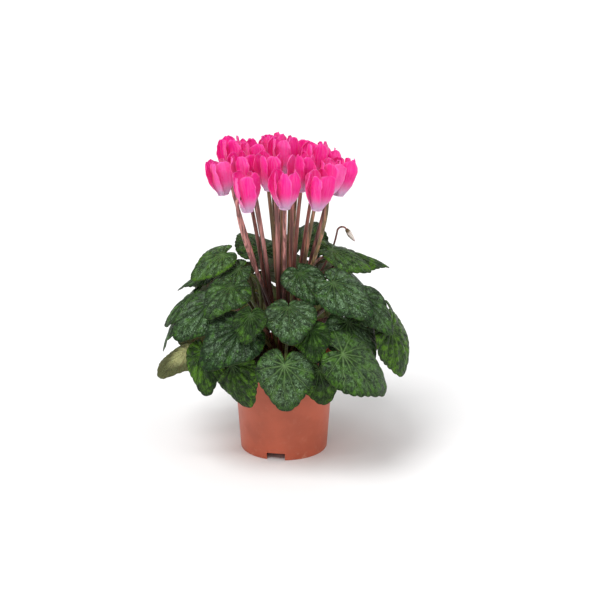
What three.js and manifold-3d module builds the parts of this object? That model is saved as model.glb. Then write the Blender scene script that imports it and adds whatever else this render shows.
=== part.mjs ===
// Potted cyclamen: a plastic nursery pot filled with potting soil, a half-buried corm, leaf stalks that
// carry a dome of heart-shaped leaves, and flower stalks that carry nodding flowers with swept-back petals.
// Millimetres, +Z up. The origin is on the pot's axis, on the surface that the pot stands on.
// Azimuths are in degrees, 0 towards -Y and 90 towards +X.
import * as THREE from "three";
import { mergeVertices } from "three/addons/utils/BufferGeometryUtils.js";
import Module from "manifold-3d";

const wasm = await Module();
wasm.setup();

const GAP = 0.35; // between pieces that touch

const POT = {
  height: 105,
  rimRadius: 56.6,
  collarHeight: 13,
  collarStep: 3.2, // how far the collar stands out from the wall
  neckRadius: 51.4, // the wall's outside, just under the collar
  footRadius: 44.9,
  wall: 1.6,
  floorHeight: 8, // the floor's underside: the foot ring lifts it
  sides: 36,
};
const NOTCH = { width: 19, height: 7.8, depth: 9, count: 3, azimuth: -10.5 }; // gaps in the foot ring
const DRAIN = { radius: 4.5, circle: 26, count: 6, sides: 7 };

const SOIL = { top: 92, dish: 2.5, dishRadius: 33 }; // the middle is lower than at the wall by the dish
const CORM = { radius: 26, top: 101, depth: 30, crownRadius: 21, sides: 14 };
const CROWN = { height: 4, flowerRadius: 10.5, stalkStart: 1 }; // the base that the stalks share, on the corm

const DOME = { radius: 122, rise: 100, centre: 108 }; // the ellipsoid that the foliage follows
const LEAF = {
  thickness: 0.8,
  poleShare: 0.775, // from the stalk's joint to the tip, as a share of the whole length
  points: 22, // along the edge
  ring: 0.55, // where the middle ring of vertices lies
  tooth: 0.03,
  wave: 0.035,
  lengthBend: 110, // radius of the blade's droop along the midrib
  crossBend: 75,
  phaseStep: 2.4, // radians that the edge's wave moves on by from leaf to leaf
};
const LEAF_STALK = {
  radius: 1.6,
  gap: 0.9, // between the stalk's end and the blade, which is bent there
  elbow: 5, // length of the straight end under the blade
  crownRadii: [13.5, 15.7, 17.9], // the rings on the crown that the stalks start from, in turn
  spread: 18, // the start of the bow: outward, and upward by a length and a share of the height
  climb: 28,
  climbShare: 0.3,
  arrivalUp: 0.6, // the end of the bow: its direction, and its share of the stalk's length
  arrivalTip: 0.5,
  arrivalShare: 0.35,
  shares: [0, 0.3, 0.62, 0.86, 1],
};

// How each leaf sits on the dome: azimuth, polar angle from the top, whole length, turn of the tip from
// straight down the slope, pitch of the tip off the slope, roll about the midrib, and lift off the dome.
const LEAVES = [
  // front, low
  [1, 88, 66, 0, -8, 8, -8],
  [23, 95, 52, 14, 0, 8, -24],
  [-25.5, 92, 62, 18, 0, 8, -19],
  [-41.5, 85, 56, 14, 4, -8, -6],
  // front, middle
  [4, 53, 62, 0, 20, 4, 1],
  [-28, 67, 70, -28, 20, 0, 0],
  [-53, 58, 66, -11, 14, -8, 0],
  [-18, 57, 40, 0, 6, 0, 4],
  [-41, 45, 56, 0, 6, -8, 4],
  [15, 65, 43, 0, 8, 8, 0],
  // right
  [23, 29.5, 52, 10, -10, 8, -3],
  [44, 45, 66, 20, 0, 8, 6],
  [58, 57, 60, 10, 6, 8, 4],
  [68, 80, 70, 10, 4, 8, 2],
  [47, 68, 70, 6, 4, 8, -16],
  [37, 82, 85, 50, 8, -30, 4],
  [84, 29, 60, 10, -4, 8, 11],
  [110, 41, 62, 0, 16, 8, 13],
  // inside the dome, behind the stalks
  [-158, 46, 46, 0, 0, 0, -22],
  // left
  [-65, 30.5, 49, -6, -10, -11, -5],
  [-84, 34, 54, 0, -4, -20, 10],
  [-100, 46, 54, 0, 12, -4, 0],
  [-84, 60, 58, 0, 10, -4, -4],
  [-92, 76, 62, 0, 14, -4, -6],
  [-66, 89, 56, -30, 34, 85, -7],
  // top, behind the flower stalks
  [160, 30, 60, 0, 50, 0, 14],
  [-150, 28, 56, 0, 40, 0, 8],
  // back
  [141, 58, 84, 0, 8, 8, 0],
  [180, 55, 86, 0, 8, 8, 3],
  [222, 56, 82, 0, 12, 8, 0],
  [98, 84, 68, 0, 6, 8, -2],
  [130, 90, 80, 0, 6, 8, -4],
  [164, 88, 84, 0, 6, 8, -2],
  [199, 90, 84, 0, 6, 8, -1],
  [234, 88, 80, 0, 6, 8, -4],
];

const TUBE = { radius: 5.6, height: 8, wall: 1.2, sides: 5, turn: -18 }; // a flat is behind each petal
const PETAL = {
  azimuths: [0, 61, 122, -122, -61], // from the way the neck nods; the stalk passes through the wide gap
  halfWidth: 7.5,
  thickness: 0.8,
  edgeDrop: 0.9, // how much nearer to the axis each row's ends are than its middle
};

// Rows of points across a petal: share of its height, distance from the flower's axis, the turn that lets
// each petal overlap the next, and the points' places as shares of the half width.
const PETAL_ROWS = [
  [0.02, 4.75, 0, [-0.26, 0.26]],
  [0.3, 8.8, 28, [-0.72, 0, 0.72]],
  [0.72, 11.6, 36, [-1, 0, 1]],
  [1, 11.2, 30, [-0.35, 0.35]],
];

// A petal's faces, as numbers of the points in the rows from its foot to its tip.
const PETAL_FACES = [
  [0, 3, 2],
  [0, 1, 3],
  [1, 4, 3],
  [2, 3, 6],
  [2, 6, 5],
  [3, 4, 7],
  [3, 7, 6],
  [5, 6, 8],
  [6, 9, 8],
  [6, 7, 9],
];

// Each flower's mouth: across, depth, height, the petals' height and the azimuth that the neck nods to.
const FLOWERS = [
  [-34, -42, 262, 40, 80],
  [2, -46, 266, 40, 0],
  [33, -43, 264, 39, -80],
  [-59, -10, 271, 37, -80],
  [-37, -15, 277, 38, -60],
  [-13, -20, 278, 38, -30],
  [17, -20, 277, 38, 40],
  [43, -17, 271, 38, 70],
  [-48, 12, 285, 39, -105],
  [-26, 8, 284, 38, -100],
  [0, 4, 287, 40, 10],
  [29, 4, 283, 39, 90],
  [55, 7, 266, 39, 95],
  [-40, 37, 278, 39, -135],
  [-10, 29, 285, 39, -150],
  [13, 30, 280, 39, 150],
  [39, 29, 272, 39, 120],
  [-14, 54, 270, 39, -165],
  [16, 54, 270, 39, 165],
];
const FLOWER_LEAN = 0.16; // degrees outward for each millimetre from the plant's axis
const FLOWER_STALK = {
  radius: 1.85,
  offset: 10, // from the flower's axis to the straight stalk
  archLift: 0.8, // of the neck's arch above the tube's end
  below: 4, // from the flower's mouth down to where the bow ends
  crownStep: 2.6, // the stalks stand on the crown in a spiral of this step
  crownTurns: 9,
  spread: 0.22, // of the bow's start, for each millimetre from the plant's axis
  reach: 60, // length of the bow's two ends
  lean: 0.26, // degrees outward where the bow ends, for each millimetre from the plant's axis
  shares: [0, 0.3, 0.6, 0.85, 1],
  neck: [180, 125, 60, 0], // angles round the arch
};

// The bud hangs from its own hooked stalk.
const BUD = { mouth: [64, 22, 227], azimuth: 100, lean: -34, length: 17, radius: 2.8, sides: 6 };
const BUD_STALK = {
  radius: 1.1,
  crownAzimuth: 120,
  crownRadius: 9,
  rise: [0, 0, 60],
  arrival: [8, -3, 48],
  shares: [0, 0.3, 0.6, 0.85],
  neck: [150, 100, 50, 0],
};

const COLOURS = {
  pot: 0xb5563a,
  soil: 0x2e211a,
  corm: 0x5b4030,
  leafStalk: 0x8a5a48,
  flowerStalk: 0xb56a62,
  leaf: 0x2f6a3a,
  petal: 0xff2f92,
  bud: 0x6e5a3e,
};

const rad = THREE.MathUtils.degToRad;
const vec = (x, y, z) => new THREE.Vector3(x, y, z);

// A plant-wide direction at an azimuth, in the ground plane.
const outward = (azimuth) => vec(Math.sin(rad(azimuth)), -Math.cos(rad(azimuth)), 0);

// ---- solids ----

function solidOf(geometry) {
  const bare = geometry.clone();
  bare.deleteAttribute("normal");
  bare.deleteAttribute("uv");
  const merged = mergeVertices(bare, 1e-4);
  const vertProperties = merged.attributes.position.array;
  const triVerts = new Uint32Array(merged.index.array);
  return new wasm.Manifold(new wasm.Mesh({ numProp: 3, vertProperties, triVerts }));
}

function geometryOf(solid) {
  const mesh = solid.getMesh();
  const positions = new THREE.BufferAttribute(new Float32Array(mesh.vertProperties), 3);
  const indexed = new THREE.BufferGeometry().setAttribute("position", positions);
  indexed.setIndex(new THREE.BufferAttribute(new Uint32Array(mesh.triVerts), 1));
  const flat = indexed.toNonIndexed();
  flat.computeVertexNormals();
  return flat;
}

const union = (solids) => wasm.Manifold.union(solids);

function turned(profile, sides) {
  const points = profile.map(([radius, height]) => new THREE.Vector2(radius, height));
  const lathe = new THREE.LatheGeometry(points, sides);
  return solidOf(lathe.rotateX(Math.PI / 2)); // three.js turns profiles about Y
}

// A thin blade: the mid-surface's triangles, with the two faces moved apart along one direction.
function blade(points, triangles, thickness, direction) {
  const half = direction.clone().multiplyScalar(thickness / 2);
  const faces = [points.map((p) => p.clone().add(half)), points.map((p) => p.clone().sub(half))];
  const index = [];
  const edges = new Map();
  for (const [a, b, c] of triangles) {
    index.push(a, b, c, c + points.length, b + points.length, a + points.length);
    for (const [from, to] of [[a, b], [b, c], [c, a]]) {
      edges.set(`${from},${to}`, [from, to]);
    }
  }
  for (const [from, to] of edges.values()) {
    if (edges.has(`${to},${from}`)) continue;
    index.push(to, from, from + points.length, from + points.length, to + points.length, to);
  }
  const geometry = new THREE.BufferGeometry().setFromPoints(faces.flat());
  return solidOf(geometry.setIndex(index));
}

// A stalk's centre line, sampled at its control points instead of evenly along its length.
class Stalk extends THREE.CatmullRomCurve3 {
  getPointAt(t, target) {
    return this.getPoint(t, target);
  }
  getTangentAt(t, target) {
    return this.getTangent(t, target);
  }
}

function stalkSolid(points, radius, sides = 5) {
  const ring = Array.from({ length: sides }, (_, i) => {
    const angle = (2 * Math.PI * i) / sides;
    return new THREE.Vector2(radius * Math.cos(angle), radius * Math.sin(angle));
  });
  const extrudePath = new Stalk(points);
  const steps = points.length - 1;
  return solidOf(new THREE.ExtrudeGeometry(new THREE.Shape(ring), { steps, extrudePath }));
}

// Points of a cubic curve that leaves `start` along `out` and reaches `end` along `into`.
function bow(start, out, end, into, shares) {
  const curve = new THREE.CubicBezierCurve3(start, start.clone().add(out), end.clone().sub(into), end);
  return shares.map((share) => curve.getPoint(share));
}

// ---- pot and soil ----

const POT_NECK = POT.height - POT.collarHeight; // the collar's underside
const potWallRadius = (z) => POT.footRadius + ((POT.neckRadius - POT.footRadius) * z) / POT_NECK;

function potSolid() {
  const floorTop = POT.floorHeight + POT.wall;
  const collarRadius = POT.neckRadius + POT.collarStep;
  const profile = [
    [0, POT.floorHeight],
    [potWallRadius(POT.floorHeight) - POT.wall, POT.floorHeight],
    [POT.footRadius - POT.wall, 0],
    [POT.footRadius, 0],
    [POT.neckRadius, POT_NECK],
    [collarRadius, POT_NECK],
    [POT.rimRadius, POT.height],
    [POT.rimRadius - POT.wall, POT.height],
    [collarRadius - POT.wall, POT_NECK + POT.wall],
    [POT.neckRadius - POT.wall, POT_NECK + POT.wall],
    [potWallRadius(floorTop) - POT.wall, floorTop],
    [0, floorTop],
  ];
  const notches = Array.from({ length: NOTCH.count }, (_, i) => {
    const azimuth = NOTCH.azimuth + (360 / NOTCH.count) * i;
    const box = new THREE.BoxGeometry(NOTCH.width, NOTCH.depth, 2 * NOTCH.height);
    const middle = outward(azimuth).multiplyScalar(POT.footRadius);
    return solidOf(box.rotateZ(rad(azimuth)).translate(middle.x, middle.y, 0));
  });
  const drains = Array.from({ length: DRAIN.count }, (_, i) => {
    const hole = new THREE.CylinderGeometry(DRAIN.radius, DRAIN.radius, 2 * POT.floorHeight, DRAIN.sides);
    const middle = outward((360 / DRAIN.count) * (i + 0.5)).multiplyScalar(DRAIN.circle);
    return solidOf(hole.rotateX(Math.PI / 2).translate(middle.x, middle.y, POT.floorHeight));
  });
  return turned(profile, POT.sides).subtract(union([...notches, ...drains]));
}

// The corm is a flattened bulb with a flat crown. Grown outward a little, it is the socket in the soil.
const cormProfile = (grow) => [
  [0, CORM.top - CORM.depth - grow],
  [0.62 * CORM.radius, CORM.top - 0.95 * CORM.depth - grow],
  [CORM.radius + grow, CORM.top - 0.6 * CORM.depth],
  [CORM.radius + grow, CORM.top - 0.35 * CORM.depth],
  [CORM.crownRadius + grow, CORM.top + grow],
  [0, CORM.top + grow],
];

function soilSolid() {
  const inner = (z) => potWallRadius(z) - POT.wall - GAP;
  const bottom = POT.floorHeight + POT.wall + GAP;
  const profile = [
    [0, bottom],
    [inner(bottom), bottom],
    [inner(SOIL.top), SOIL.top],
    [SOIL.dishRadius, SOIL.top - SOIL.dish],
    [0, SOIL.top - SOIL.dish],
  ];
  return turned(profile, POT.sides).subtract(turned(cormProfile(GAP), CORM.sides));
}

// ---- leaves ----

// How far the blade's edge is from the stalk's joint, as a share of the joint-to-tip length. The angle is 0
// at the tip and turns to the lobes on either side of the joint.
function heart(angle) {
  const tip = 0.26 * Math.exp(-((angle / 0.36) ** 2));
  const sinus = 0.24 * Math.exp(-(((Math.PI - Math.abs(angle)) / 0.28) ** 2));
  return 0.52 + 0.22 * Math.cos(angle) + tip - sinus;
}

// The blade's own axes: tip points along the midrib, side across it, and up stands on the blade. Joint is
// where the stalk meets it.
function leafFrame([azimuth, polar, length, turn, pitch, roll, lift]) {
  const sine = Math.sin(rad(polar));
  const cosine = Math.cos(rad(polar));
  const away = outward(azimuth);
  const centre = away.clone().multiplyScalar(DOME.radius * sine);
  centre.z = DOME.centre + DOME.rise * cosine;
  const down = away.clone().multiplyScalar(DOME.radius * cosine);
  down.z = -DOME.rise * sine;
  down.normalize();
  const across = vec(-away.y, away.x, 0);
  const normal = down.clone().cross(across);
  centre.addScaledVector(normal, lift);
  const up = normal.clone();
  const tip = down.clone().applyAxisAngle(normal, rad(turn));
  const hinge = up.clone().cross(tip);
  up.applyAxisAngle(hinge, -rad(pitch));
  tip.applyAxisAngle(hinge, -rad(pitch));
  up.applyAxisAngle(tip, rad(roll));
  const side = up.clone().cross(tip);
  const reach = LEAF.poleShare * length;
  const toCentre = reach - length / 2;
  return { joint: centre.addScaledVector(tip, -toCentre), tip, side, up, reach, toCentre };
}

// A point of the blade: angle about the joint, and share of the way to the edge.
function leafPoint(frame, angle, share, phase) {
  const distance = share * frame.reach * heart(angle);
  const along = distance * Math.cos(angle);
  const across = distance * Math.sin(angle);
  const lengthDroop = ((along - frame.toCentre) ** 2 - frame.toCentre ** 2) / (2 * LEAF.lengthBend);
  const droop = lengthDroop + across ** 2 / (2 * LEAF.crossBend);
  const wave = LEAF.wave * frame.reach * share ** 2 * Math.sin(3 * angle + phase);
  return frame.joint
    .clone()
    .addScaledVector(frame.tip, along)
    .addScaledVector(frame.side, across)
    .addScaledVector(frame.up, wave - droop);
}

function leafSolid(frame, phase) {
  const inner = LEAF.points / 2;
  const step = (2 * Math.PI) / LEAF.points;
  const signed = (i) => (2 * i > LEAF.points ? i - LEAF.points : i) * step;
  const points = [leafPoint(frame, 0, 0, phase)];
  for (let i = 0; i < inner; i += 1) points.push(leafPoint(frame, signed(2 * i), LEAF.ring, phase));
  for (let i = 0; i < LEAF.points; i += 1) {
    const tooth = i % (LEAF.points / 2) === 0 ? 0 : LEAF.tooth * (i % 2 ? 1 : -1);
    points.push(leafPoint(frame, signed(i), 1 + tooth, phase));
  }
  const triangles = [];
  for (let i = 0; i < inner; i += 1) {
    const [a, b] = [1 + i, 1 + ((i + 1) % inner)];
    const edge = [0, 1, 2].map((k) => 1 + inner + ((2 * i + k) % LEAF.points));
    triangles.push([a, edge[0], edge[1]], [b, edge[1], edge[2]]);
    // the sinus lies nearer to the joint than the middle ring does
    if (4 * i + 2 === LEAF.points) triangles.push([0, a, edge[1]], [0, edge[1], b]);
    else triangles.push([0, a, b], [a, edge[1], b]);
  }
  return blade(points, triangles, LEAF.thickness, frame.up);
}

const crownBase = CORM.top + GAP;
const crownPoint = (azimuth, radius) => {
  return outward(azimuth).multiplyScalar(radius).setZ(crownBase + CROWN.stalkStart);
};

function leafStalkPoints(frame, azimuth, index) {
  const { gap, crownRadii, spread, climb, climbShare, arrivalUp, arrivalTip, arrivalShare } = LEAF_STALK;
  const under = LEAF.thickness / 2 + gap;
  const end = frame.joint.clone().addScaledVector(frame.up, -under);
  const elbow = frame.joint.clone().addScaledVector(frame.up, -under - LEAF_STALK.elbow);
  const start = crownPoint(azimuth, crownRadii[index % crownRadii.length]);
  const rise = outward(azimuth).multiplyScalar(spread).setZ(climbShare * (elbow.z - start.z) + climb);
  const into = frame.up.clone().multiplyScalar(arrivalUp).addScaledVector(frame.tip, arrivalTip);
  into.setLength(arrivalShare * elbow.distanceTo(start));
  return [...bow(start, rise, elbow, into, LEAF_STALK.shares), end];
}

function leafStalksSolid(frames) {
  const stalks = frames.map((frame, i) => {
    return stalkSolid(leafStalkPoints(frame, LEAVES[i][0], i), LEAF_STALK.radius);
  });
  const inner = CROWN.flowerRadius + GAP;
  const profile = [
    [inner, crownBase],
    [CORM.crownRadius - 1, crownBase],
    [CORM.crownRadius - 2, crownBase + CROWN.height],
    [inner, crownBase + CROWN.height],
    [inner, crownBase],
  ];
  return union([turned(profile, 2 * CORM.sides), ...stalks]);
}

// ---- flowers ----

// Axes at the flower's mouth: up through the petals, nod in the way the neck bends over, and side across.
function flowerFrame([x, y, z], azimuth, leanAngle = FLOWER_LEAN * Math.hypot(x, y)) {
  const away = vec(x, y, 0).normalize();
  const up = vec(0, 0, Math.cos(rad(leanAngle))).addScaledVector(away, Math.sin(rad(leanAngle)));
  const side = up.clone().cross(outward(azimuth)).normalize();
  return { mouth: vec(x, y, z), up, nod: side.clone().cross(up), side };
}

const inFlower = (frame, [nod, side, up]) => {
  const point = frame.mouth.clone().addScaledVector(frame.nod, nod);
  return point.addScaledVector(frame.side, side).addScaledVector(frame.up, up);
};

const flowerBasis = (frame) => {
  const basis = new THREE.Matrix4().makeBasis(frame.nod, frame.side, frame.up);
  return basis.setPosition(frame.mouth).toArray();
};

// One petal: it leaves the tube's mouth, sweeps back and stands up.
function petalSolid(frame, azimuth, height) {
  const [c, s] = [Math.cos(rad(azimuth)), Math.sin(rad(azimuth))];
  const last = PETAL_ROWS.length - 1;
  const points = PETAL_ROWS.flatMap(([share, radius, turn, places], row) =>
    places.map((place) => {
      const across = place * PETAL.halfWidth;
      const drop = row < last ? PETAL.edgeDrop * row * Math.sign(Math.abs(place)) : 0;
      const tangent = across * Math.cos(rad(turn));
      const radial = radius - drop + across * Math.sin(rad(turn));
      return inFlower(frame, [radial * c - tangent * s, radial * s + tangent * c, share * height]);
    }),
  );
  const through = frame.nod.clone().multiplyScalar(c).addScaledVector(frame.side, s);
  return blade(points, PETAL_FACES, PETAL.thickness, through);
}

function flowerSolid(frame, height) {
  const profile = [
    [0, TUBE.height],
    [0, TUBE.height - TUBE.wall],
    [0.62 * TUBE.radius, TUBE.height - TUBE.wall],
    [TUBE.radius - TUBE.wall, 0],
    [TUBE.radius, 0],
    [0.8 * TUBE.radius, TUBE.height],
    [0, TUBE.height],
  ];
  const tube = turned(profile, TUBE.sides).rotate([0, 0, TUBE.turn]);
  const petals = PETAL.azimuths.map((azimuth) => petalSolid(frame, azimuth, height));
  return union([tube.transform(flowerBasis(frame)), ...petals]);
}

// The neck over a flower: from the straight stalk's side round to the point that is `foot` above the mouth.
function neckPoints(frame, foot, angles) {
  const bend = FLOWER_STALK.offset / 2;
  const middle = foot + FLOWER_STALK.archLift;
  const arch = angles.map((angle) => {
    const nod = -bend + bend * Math.cos(rad(angle));
    return inFlower(frame, [nod, 0, middle + bend * Math.sin(rad(angle))]);
  });
  return [...arch, inFlower(frame, [0, 0, foot])];
}

function flowerStalkPoints(frame, index) {
  const { offset, below, crownStep, crownTurns, spread, reach } = FLOWER_STALK;
  const away = vec(frame.mouth.x, frame.mouth.y, 0);
  const azimuth = THREE.MathUtils.radToDeg(Math.atan2(away.x, -away.y));
  const start = crownPoint(azimuth, crownStep * Math.sqrt(index % crownTurns));
  const approach = inFlower(frame, [-offset, 0, -below]);
  const lean = rad(FLOWER_STALK.lean * away.length());
  const rise = away.clone().multiplyScalar(spread).setZ(reach);
  const into = away.clone().setLength(reach * Math.sin(lean)).setZ(reach * Math.cos(lean));
  const neck = neckPoints(frame, TUBE.height + GAP, FLOWER_STALK.neck);
  return [...bow(start, rise, approach, into, FLOWER_STALK.shares), ...neck];
}

function budStalkPoints(frame) {
  const neck = neckPoints(frame, GAP, BUD_STALK.neck);
  const start = crownPoint(BUD_STALK.crownAzimuth, BUD_STALK.crownRadius);
  const [rise, into] = [vec(...BUD_STALK.rise), vec(...BUD_STALK.arrival)];
  return [...bow(start, rise, neck[0], into, BUD_STALK.shares), ...neck];
}

function budSolid(frame) {
  const { length, radius, sides } = BUD;
  const profile = [
    [0, -length],
    [0.5 * radius, -0.8 * length],
    [radius, -0.42 * length],
    [0.85 * radius, -0.15 * length],
    [0.5 * radius, 0],
    [0, 0],
  ];
  return turned(profile, sides).transform(flowerBasis(frame));
}

function flowerStalksSolid(frames, budFrame) {
  const stalks = frames.map((frame, i) => stalkSolid(flowerStalkPoints(frame, i), FLOWER_STALK.radius));
  stalks.push(stalkSolid(budStalkPoints(budFrame), BUD_STALK.radius));
  const profile = [
    [0, crownBase],
    [CROWN.flowerRadius, crownBase],
    [CROWN.flowerRadius - 1, crownBase + CROWN.height],
    [0, crownBase + CROWN.height],
  ];
  return union([turned(profile, 2 * CORM.sides), ...stalks]);
}

// ---- the whole plant ----

const plant = new THREE.Group();

function add(name, solid, color, roughness) {
  const material = new THREE.MeshStandardMaterial({ color, roughness, metalness: 0 });
  const mesh = new THREE.Mesh(geometryOf(solid), material);
  mesh.name = name;
  plant.add(mesh);
}

const numbered = (name, index) => `${name}_${String(index + 1).padStart(2, "0")}`;

add("pot", potSolid(), COLOURS.pot, 0.45);
add("soil", soilSolid(), COLOURS.soil, 1);
add("corm", turned(cormProfile(0), CORM.sides), COLOURS.corm, 0.9);

const leafFrames = LEAVES.map(leafFrame);
add("leaf_stalks", leafStalksSolid(leafFrames), COLOURS.leafStalk, 0.5);
leafFrames.forEach((frame, i) => {
  add(numbered("leaf", i), leafSolid(frame, LEAF.phaseStep * i), COLOURS.leaf, 0.5);
});

const flowerFrames = FLOWERS.map((row) => flowerFrame(row, row[4]));
const budFrame = flowerFrame(BUD.mouth, BUD.azimuth, BUD.lean);
add("flower_stalks", flowerStalksSolid(flowerFrames, budFrame), COLOURS.flowerStalk, 0.5);
flowerFrames.forEach((frame, i) => {
  add(numbered("flower", i), flowerSolid(frame, FLOWERS[i][3]), COLOURS.petal, 0.6);
});
add("bud", budSolid(budFrame), COLOURS.bud, 0.5);

export default plant;
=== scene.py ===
"""A flowering cyclamen in a nursery pot: pot, soil, corm, stalks, leaves, flowers and a bud.

Metres, +Z up the pot's axis, -Y towards the viewer. Azimuths are in degrees, 0 towards -Y and 90 towards +X.
"""

import functools
import math

import bmesh
import bpy
import numpy as np
from bpy.props import FloatProperty, FloatVectorProperty, IntProperty, PointerProperty
from mathutils import Matrix, Vector


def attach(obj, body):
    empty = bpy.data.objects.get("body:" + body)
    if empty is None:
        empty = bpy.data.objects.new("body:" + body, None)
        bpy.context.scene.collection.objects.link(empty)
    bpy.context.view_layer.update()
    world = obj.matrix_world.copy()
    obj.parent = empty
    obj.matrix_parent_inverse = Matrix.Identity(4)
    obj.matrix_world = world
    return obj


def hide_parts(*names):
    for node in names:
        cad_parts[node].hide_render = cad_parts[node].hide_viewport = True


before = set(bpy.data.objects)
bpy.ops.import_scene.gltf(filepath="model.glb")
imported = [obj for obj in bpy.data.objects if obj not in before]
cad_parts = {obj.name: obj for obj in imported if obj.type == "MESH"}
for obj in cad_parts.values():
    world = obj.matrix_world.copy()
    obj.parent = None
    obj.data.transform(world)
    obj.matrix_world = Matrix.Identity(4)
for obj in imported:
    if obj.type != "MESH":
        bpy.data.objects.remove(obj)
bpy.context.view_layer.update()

bl_info = {
    "name": "Potted cyclamen",
    "version": (1, 0, 0),
    "blender": (4, 5, 0),
    "location": "3D View > Sidebar > Cyclamen",
    "description": "Makes a flowering cyclamen in its nursery pot, with soil, stalks, leaves and flowers",
    "category": "Add Mesh",
}

MM = 0.001
GAP = 0.35  # millimetres between pieces that touch
CLEARANCE = GAP * MM
NOTCHES, FIRST_NOTCH = 3, -10.5  # gaps in the pot's foot ring, and the first one's azimuth
CORM_RADIUS = 26 * MM  # its socket in the soil is a gap wider

# The foliage follows an ellipsoid: its radius, half height and the height of its middle in millimetres.
DOME_RADIUS, DOME_RISE, DOME_CENTRE = 122, 100, 108
POLE_SHARE = 0.775  # of a leaf's length, from the stalk's joint to the tip
LENGTH_BEND, CROSS_BEND = 110, 75  # radii that a blade droops with, along and across, in millimetres
EDGE_WAVE, PHASE_STEP = 0.035, 2.4  # depth of its waves as a share of its reach, and their shift by leaf

# Azimuth, polar angle, length, turn, pitch, roll and lift of each leaf, in degrees and millimetres. Then its
# looks from 0 to 1: how light its green is, how much silver marbling it has, how fresh and yellowish it is,
# and how pale its veins are.
LEAVES = [
    (1, 88, 66, 0, -8, 8, -8, 0.45, 0.80, 0.30, 0.9),
    (23, 95, 52, 14, 0, 8, -24, 0.30, 0.15, 0.70, 0.4),
    (-25.5, 92, 62, 18, 0, 8, -19, 0.25, 0.05, 0.80, 0.3),
    (-41.5, 85, 56, 14, 4, -8, -6, 0.25, 0.05, 0.80, 0.3),
    (4, 53, 62, 0, 20, 4, 1, 0.50, 0.90, 0.10, 0.4),
    (-28, 67, 70, -28, 20, 0, 0, 0.15, 0.60, 0.00, 0.2),
    (-53, 58, 66, -11, 14, -8, 0, 0.40, 0.85, 0.15, 0.3),
    (-18, 57, 40, 0, 6, 0, 4, 0.05, 0.10, 0.35, 0.3),
    (-41, 45, 56, 0, 6, -8, 4, 0.35, 0.55, 0.30, 0.3),
    (15, 65, 43, 0, 8, 8, 0, 0.15, 0.10, 0.40, 0.1),
    (23, 29.5, 52, 10, -10, 8, -3, 0.80, 1.00, 0.00, 0.3),
    (44, 45, 66, 20, 0, 8, 6, 0.70, 1.00, 0.00, 0.5),
    (58, 57, 60, 10, 6, 8, 4, 0.35, 0.55, 0.20, 0.3),
    (68, 80, 70, 10, 4, 8, 2, 0.70, 0.05, 1.00, 0.4),
    (47, 68, 70, 6, 4, 8, -16, 0.35, 0.95, 0.10, 0.5),
    (37, 82, 85, 50, 8, -30, 4, 0.45, 0.45, 0.40, 0.9),
    (84, 29, 60, 10, -4, 8, 11, 1.00, 0.55, 0.85, 0.6),
    (110, 41, 62, 0, 16, 8, 13, 0.40, 0.15, 0.90, 0.3),
    (-158, 46, 46, 0, 0, 0, -22, 0.25, 0.30, 0.50, 0.3),
    (-65, 30.5, 49, -6, -10, -11, -5, 1.00, 0.85, 0.40, 0.5),
    (-84, 34, 54, 0, -4, -20, 10, 1.00, 0.70, 0.85, 0.6),
    (-100, 46, 54, 0, 12, -4, 0, 0.25, 0.40, 0.20, 0.2),
    (-84, 60, 58, 0, 10, -4, -4, 0.30, 0.40, 0.30, 0.2),
    (-92, 76, 62, 0, 14, -4, -6, 0.25, 0.40, 0.20, 0.2),
    (-66, 89, 56, -30, 34, 85, -7, 0.45, 0.15, 0.80, 0.5),
    (160, 30, 60, 0, 50, 0, 14, 0.35, 0.45, 0.50, 0.3),
    (-150, 28, 56, 0, 40, 0, 8, 0.25, 0.35, 0.40, 0.3),
    (141, 58, 84, 0, 8, 8, 0, 0.40, 0.80, 0.15, 0.4),
    (180, 55, 86, 0, 8, 8, 3, 0.35, 0.90, 0.05, 0.3),
    (222, 56, 82, 0, 12, 8, 0, 0.40, 0.70, 0.25, 0.5),
    (98, 84, 68, 0, 6, 8, -2, 0.45, 0.40, 0.60, 0.5),
    (130, 90, 80, 0, 6, 8, -4, 0.35, 0.75, 0.20, 0.6),
    (164, 88, 84, 0, 6, 8, -2, 0.40, 0.55, 0.45, 0.8),
    (199, 90, 84, 0, 6, 8, -1, 0.40, 0.85, 0.10, 0.4),
    (234, 88, 80, 0, 6, 8, -4, 0.45, 0.45, 0.50, 0.6),
]

# A leaf's main veins: angle from the midrib at the joint, share of that angle lost by the edge.
MAIN_VEINS = [(0.0, 0.0), (0.42, 0.16), (0.86, 0.12), (1.36, 0.08), (1.92, 0.05), (2.5, 0.03)]
# Side veins: main vein's number, where it leaves it, and the angle that it gains by the edge.
SIDE_VEINS = [(0, 0.34, 0.2), (0, 0.62, 0.11), (1, 0.5, 0.15), (1, 0.55, -0.14), (2, 0.45, 0.17),
              (2, 0.5, -0.16), (3, 0.5, 0.2), (3, 0.55, -0.16), (4, 0.5, 0.2), (5, 0.5, -0.2)]

# Where each flower's mouth is and how tall its petals are, in millimetres, and the azimuth that it nods to.
FLOWERS = [
    (-34, -42, 262, 40, 80),
    (2, -46, 266, 40, 0),
    (33, -43, 264, 39, -80),
    (-59, -10, 271, 37, -80),
    (-37, -15, 277, 38, -60),
    (-13, -20, 278, 38, -30),
    (17, -20, 277, 38, 40),
    (43, -17, 271, 38, 70),
    (-48, 12, 285, 39, -105),
    (-26, 8, 284, 38, -100),
    (0, 4, 287, 40, 10),
    (29, 4, 283, 39, 90),
    (55, 7, 266, 39, 95),
    (-40, 37, 278, 39, -135),
    (-10, 29, 285, 39, -150),
    (13, 30, 280, 39, 150),
    (39, 29, 272, 39, 120),
    (-14, 54, 270, 39, -165),
    (16, 54, 270, 39, 165),
]
FLOWER_LEAN = 0.16  # degrees for each millimetre from the axis
TUBE_HEIGHT = 8
NECK_OFFSET = 10  # from the stalk to the tube's middle
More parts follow.
